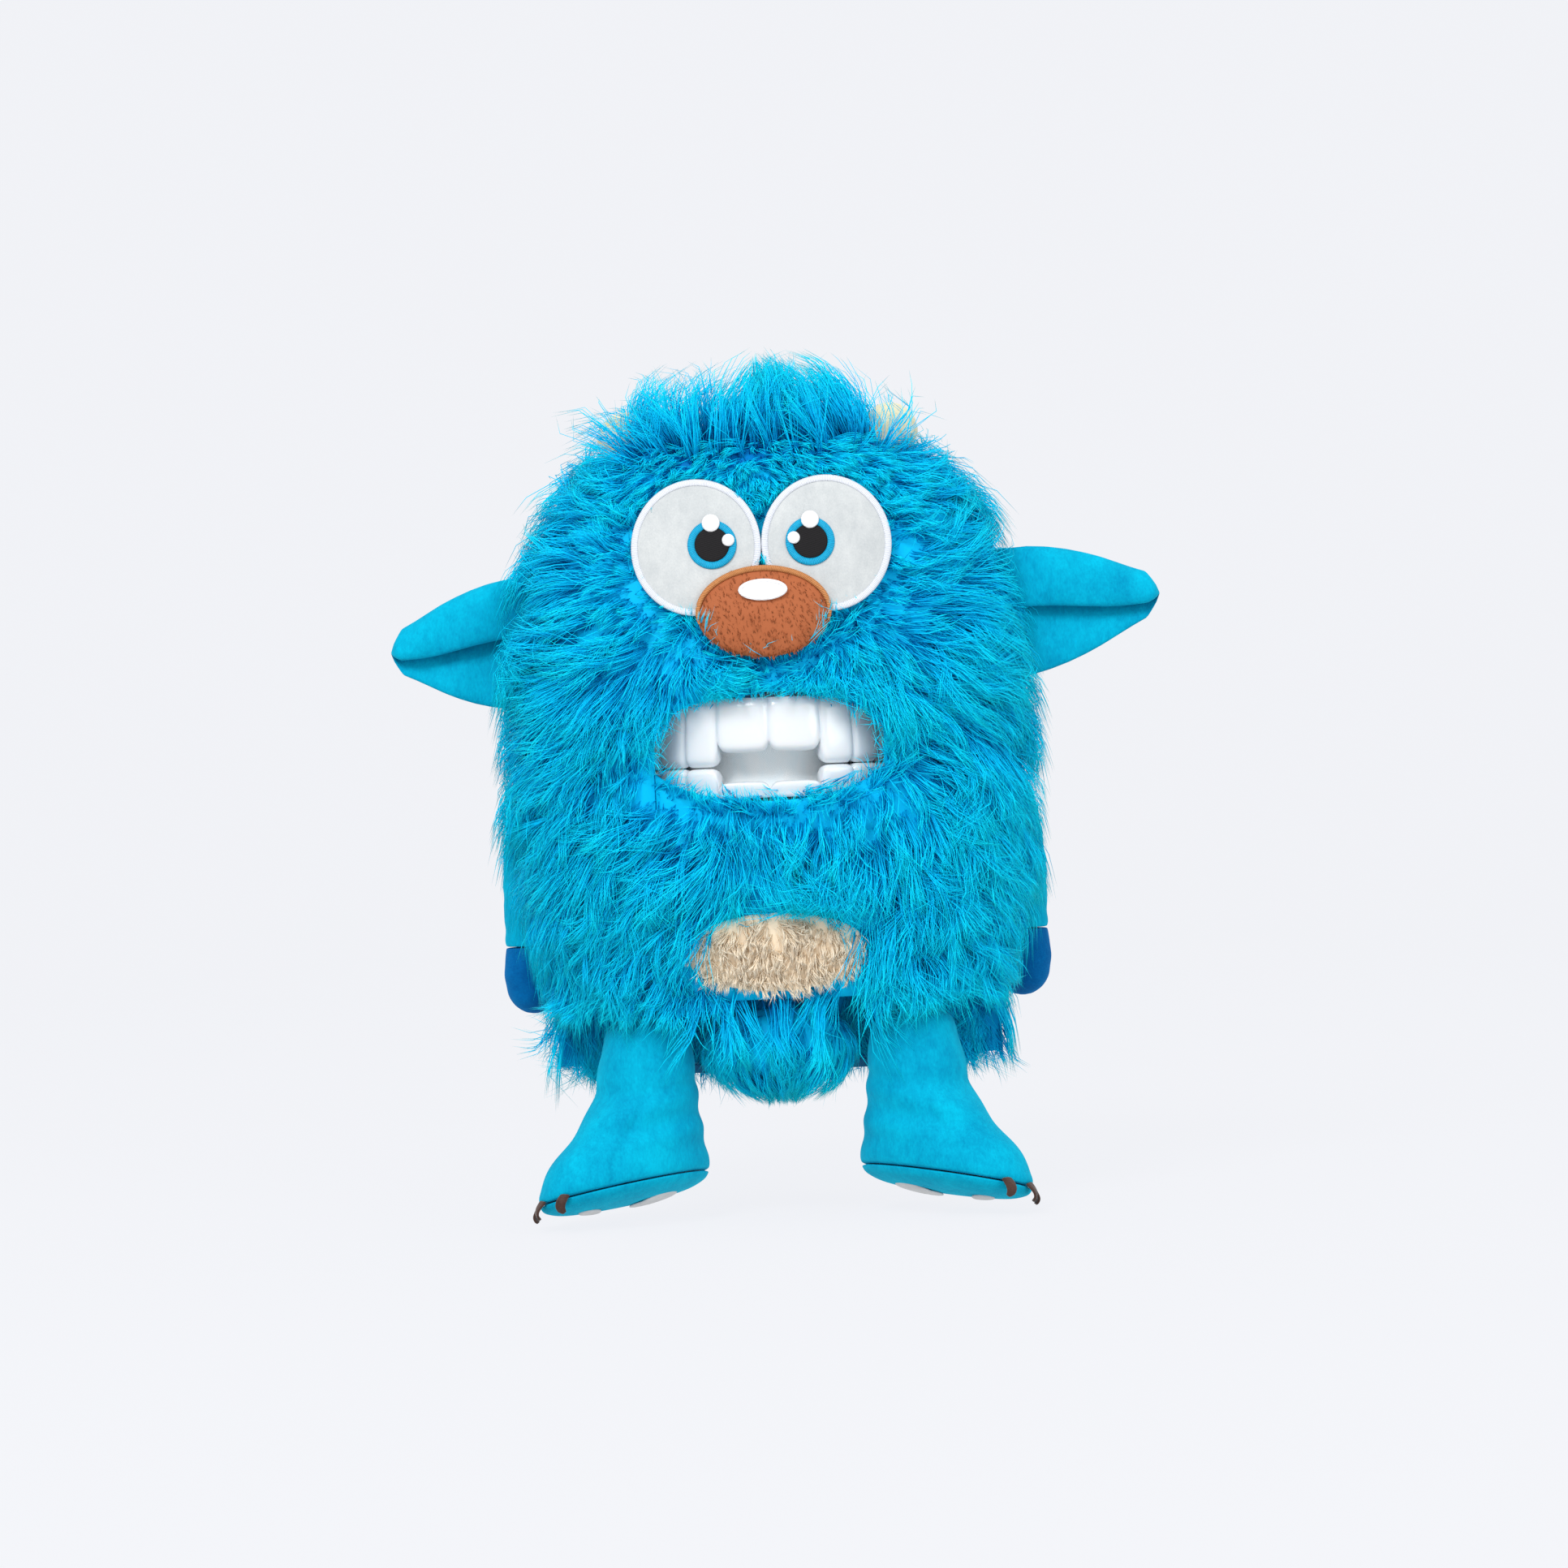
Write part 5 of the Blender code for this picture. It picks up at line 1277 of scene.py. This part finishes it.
leg = dict(
    x=50.0, y=-42.0, splay=60.0, roll=0.26, droop=0.09,
    # down the leg: height, half length, half width, and how far the middle moves to the toe
    shape=((20.0, 3.0, 3.0, 0.0), (19.6, 8.4, 8.4, 0.0), (16.0, 14.3, 14.3, 0.0), (4.0, 17.8, 17.3, 0.0),
           (-8.0, 19.6, 18.0, 1.0), (-19.0, 24.5, 19.0, 5.0), (-30.0, 31.2, 20.3, 9.5),
           (-37.0, 33.8, 21.2, 10.8), (-40.2, 33.9, 20.9, 11.0), (-41.0, 32.6, 19.8, 11.0)),
    sole=((-41.7, 32.8, 19.8, 11.0), (-42.4, 33.5, 20.4, 11.0), (-44.6, 31.4, 18.6, 11.0),
        (-46.6, 25.0, 13.4, 11.0), (-47.6, 13.0, 6.0, 11.0), (-47.8, 2.0, 1.0, 11.0)),
)


def footPoint(along, across, height):
    # the foot's own axes, splayed out; low on the foot the sole rolls to face in and forward
    splay = math.radians(leg["splay"])
    x = leg["x"] + math.sin(splay) * along + math.cos(splay) * across
    y = leg["y"] - math.cos(splay) * along + math.sin(splay) * across
    share = np.clip((4.0 - height) / 40.0, 0.0, 1.0)
    z = height - share * (leg["roll"] * across + leg["droop"] * along)
    return np.stack(np.broadcast_arrays(x, y, z), -1)


def makeLegs():
    # ovals of the foot's own axes, stacked from the hip to the sole
    turn = circle(96)[None]
    shape = throughKnots(leg["shape"], 90)
    z, length, width, shift = (shape[:, i:i + 1] for i in range(4))
    # soft creases where the foot bends, a dent along each of the two seams, and a pinch at the sole
    crease = 0.55 * np.sin(z * 0.42 + 1.6 * np.cos(turn + 0.6)) * smooth(-36.0, -22.0, z)
    crease = crease * smooth(2.0, -8.0, z)
    wrinkle = 0.35 * np.sin(z * 0.21 + 3.0 * turn + 1.0) * smooth(-38.0, -30.0, z)
    crease = crease + wrinkle * smooth(17.0, 8.0, z)
    seams = [np.exp(-((np.sin((turn - place) / 2.0)) / 0.035) ** 2) for place in (1.75, -1.15)]
    seam = -0.8 * (seams[0] + seams[1])
    grow = crease + seam * smooth(18.5, 15.0, z)
    skin = shellPart(footPoint(shift + (length + grow) * np.cos(turn), (width + grow) * np.sin(turn), z))
    shape = throughKnots(leg["sole"], 34)
    z, length, width, shift = (shape[:, i:i + 1] for i in range(4))
    sole = shellPart(footPoint(shift + length * np.cos(turn), width * np.sin(turn), z))

    def pad(along, across, halfLength, halfWidth):
        # a felt oval that lies on the sole's curve
        share = np.array([0.15, 0.4, 0.65, 0.85, 0.96, 1.0, 0.97, 0.6, 0.2])[:, None]
        lift = np.array([-0.9, -0.9, -0.85, -0.75, -0.55, -0.25, 0.1, 0.1, 0.1])[:, None]
        u, v = along + halfLength * share * np.cos(turn), across + halfWidth * share * np.sin(turn)
        below = -48.0 + 2.2 * np.clip(((u - 11.0) / 24.0) ** 2 + (v / 12.0) ** 2 - 0.25, 0.0, 4.0)
        return shellPart(footPoint(u, v, below + lift))

    pair("leg", [skin], "turquoisePlush", "leg", "turquoise_plush", "leg", 0.7)
    pair("sole", [sole], "turquoisePlush", "leg", "turquoise_plush", "sole", 0.6)
    pair("heelPad", [pad(0.0, -1.0, 9.0, 9.0)], "padFelt", "leg", "white_felt", "heel_pad")
    pair("toePad", [pad(26.5, -1.0, 4.4, 3.6)], "padFelt", "leg", "white_felt", "toe_pad")


claw = dict(turns=(-0.5, 0.0, 0.5), half=2.3, wall=0.55, drop=6.4, curl=2.6)


def makeClaws():
    # three short ribbons that curl down from the toe end of the sole's seam
    s = np.linspace(0.0, 1.0, 22)[:, None]
    section = circle(16)[None]
    flat, thin = np.sign(np.cos(section)) * np.abs(np.cos(section)) ** 0.5, np.sin(section)
    parts = []
    for turn in claw["turns"]:
        base = footPoint(11.0 + 33.4 * math.cos(turn), 20.4 * math.sin(turn), -40.4)
        aim = unit(footPoint(11.0 + 38.4 * math.cos(turn), 23.4 * math.sin(turn), -40.4) - base)
        wide = np.cross(aim, np.array([0.0, 0.0, 1.0]))
        twist = 0.5 * s * (1.0 if turn >= 0 else -1.0)
        across = np.cos(twist) * wide + np.sin(twist) * aim
        bend = 0.6 + claw["curl"] * np.sin(2.6 * s)
        middle = base + aim * bend + np.array([0.0, 0.0, -1.0]) * claw["drop"] * s
        face = np.cross(unit(np.gradient(middle, axis=0)), across)
        narrow = claw["half"] * (1.0 - 0.35 * s ** 2) * np.minimum(1.0, (1.0 - s) * 9.0 + 0.15) ** 0.5
        rings = middle[:, None] + (narrow * flat)[..., None] * across[:, None]
        rings = rings + (claw["wall"] * thin)[..., None] * face[:, None]
        parts.append(shellPart(rings))
    pair("claws", parts, "darkFelt", "leg", "dark_felt", "claws")


def dressInside():
    # the hidden parts keep their shapes and get their cloth
    kinds = dict(
        fibreFill=["head_stuffing", "back_stuffing", "belly_stuffing", "side_stuffing_left",
            "side_stuffing_right", "leg_stuffing_left", "leg_stuffing_right"],
        sleeveCloth=["hand_sleeve", "hem_binding", "finger_loop", "thumb_loop"],
        board=["upper_mouth_board", "lower_mouth_board"],
        greyCloth=["upper_mouth_lining", "lower_mouth_lining", "mouth_hinge_cord"],
    )
    for finishName, nodes in kinds.items():
        for node in nodes:
            for place in bpy.data.objects[node].material_slots:
                place.material = look[finishName]


stages = (
    furCoat, makeEyes, makeNose, makePatch, makeSeat, makeEdges, makeUnderCloth, makeTeeth, makePocket,
    makeEars, makeHorns, makeArms, makeLegs, makeClaws, dressInside,
)
for stage in stages:
    stage()
    print("done", stage.__name__)


studio = dict(
    distance=1419.0, targetX=5.0, targetZ=105.0, roll=-2.2, floorZ=-56.0, lens=85.0, sky=0.8,
    keyPlace=(-0.7, -1.6, 1.5), keySize=0.9, keyPower=28.0, fillPlace=(1.3, -1.4,
        0.7), fillSize=1.2, fillPower=9.0,
)


def makeCamera():
    # level, in front of the face, turned slightly about its own axis
    data = bpy.data.cameras.new("camera")
    data.lens, data.sensor_width = studio["lens"], 36.0
    camera = bpy.data.objects.new("camera", data)
    bpy.context.scene.collection.objects.link(camera)
    place = Matrix.Translation((studio["targetX"] * milli, -studio["distance"] * milli,
        studio["targetZ"] * milli))
    upright = Matrix.Rotation(math.pi / 2, 4, "X")
    camera.matrix_world = place @ upright @ Matrix.Rotation(math.radians(studio["roll"]), 4, "Z")
    bpy.context.scene.camera = camera


def makeStage():
    # a bowl: flat in the middle, and curving up into a wall far outside the camera
    around = circle(96)[None]
    bend = np.linspace(0.0, math.pi / 2, 17)
    reach = np.concatenate([[300.0, 900.0, 1800.0], 2200.0 + 1400.0 * np.sin(bend), [3600.0]])[:, None]
    rise = np.concatenate([[0.0, 0.0, 0.0], 1400.0 * (1.0 - np.cos(bend)), [4200.0]])[:, None]
    ring = np.stack(np.broadcast_arrays(reach * np.cos(around), reach * np.sin(around),
        studio["floorZ"] + rise), -1)
    rows, columns = ring.shape[:2]
    faces = shellFaces(rows, columns)[:-columns]
    points = np.concatenate([ring.reshape(-1, 3), [[0.0, 0.0, studio["floorZ"]]]])
    recipe = Recipe("backdrop", Roughness=0.9, Specular_IOR_Level=0.0,
        Emission_Color=(0.80, 0.81, 0.845, 1.0), Emission_Strength=1.04)
    recipe.feed("Base Color", recipe.mix(recipe.noise(3.0), (0.05, 0.0502, 0.0505), (0.055, 0.0552, 0.0555)))
    floor = makePiece("backdrop", [(points, faces, {})], recipe.material)
    floor.visible_diffuse = floor.visible_glossy = False


def areaLight(name, place, size, power):
    # a soft round light at a place in metres, turned to the origin
    data = bpy.data.lights.new(name, "AREA")
    data.shape, data.size, data.energy = "DISK", size, power
    light = bpy.data.objects.new(name, data)
    bpy.context.scene.collection.objects.link(light)
    facing = Vector(place).normalized().to_track_quat("Z", "Y").to_matrix().to_4x4()
    light.matrix_world = Matrix.Translation(place) @ facing


def makeLight():
    # even white light all round, a key from the upper left and a weaker fill
    world = bpy.data.worlds.new("soft")
    world.use_nodes = True
    sky = world.node_tree.nodes["Background"].inputs
    sky[0].default_value, sky[1].default_value = (1.0, 1.0, 1.0, 1.0), studio["sky"]
    bpy.context.scene.world = world
    areaLight("key", studio["keyPlace"], studio["keySize"], studio["keyPower"])
    areaLight("fill", studio["fillPlace"], studio["fillSize"], studio["fillPower"])
    bpy.context.scene.view_settings.view_transform = "Standard"


makeCamera()
makeStage()
makeLight()
print("studio ready")
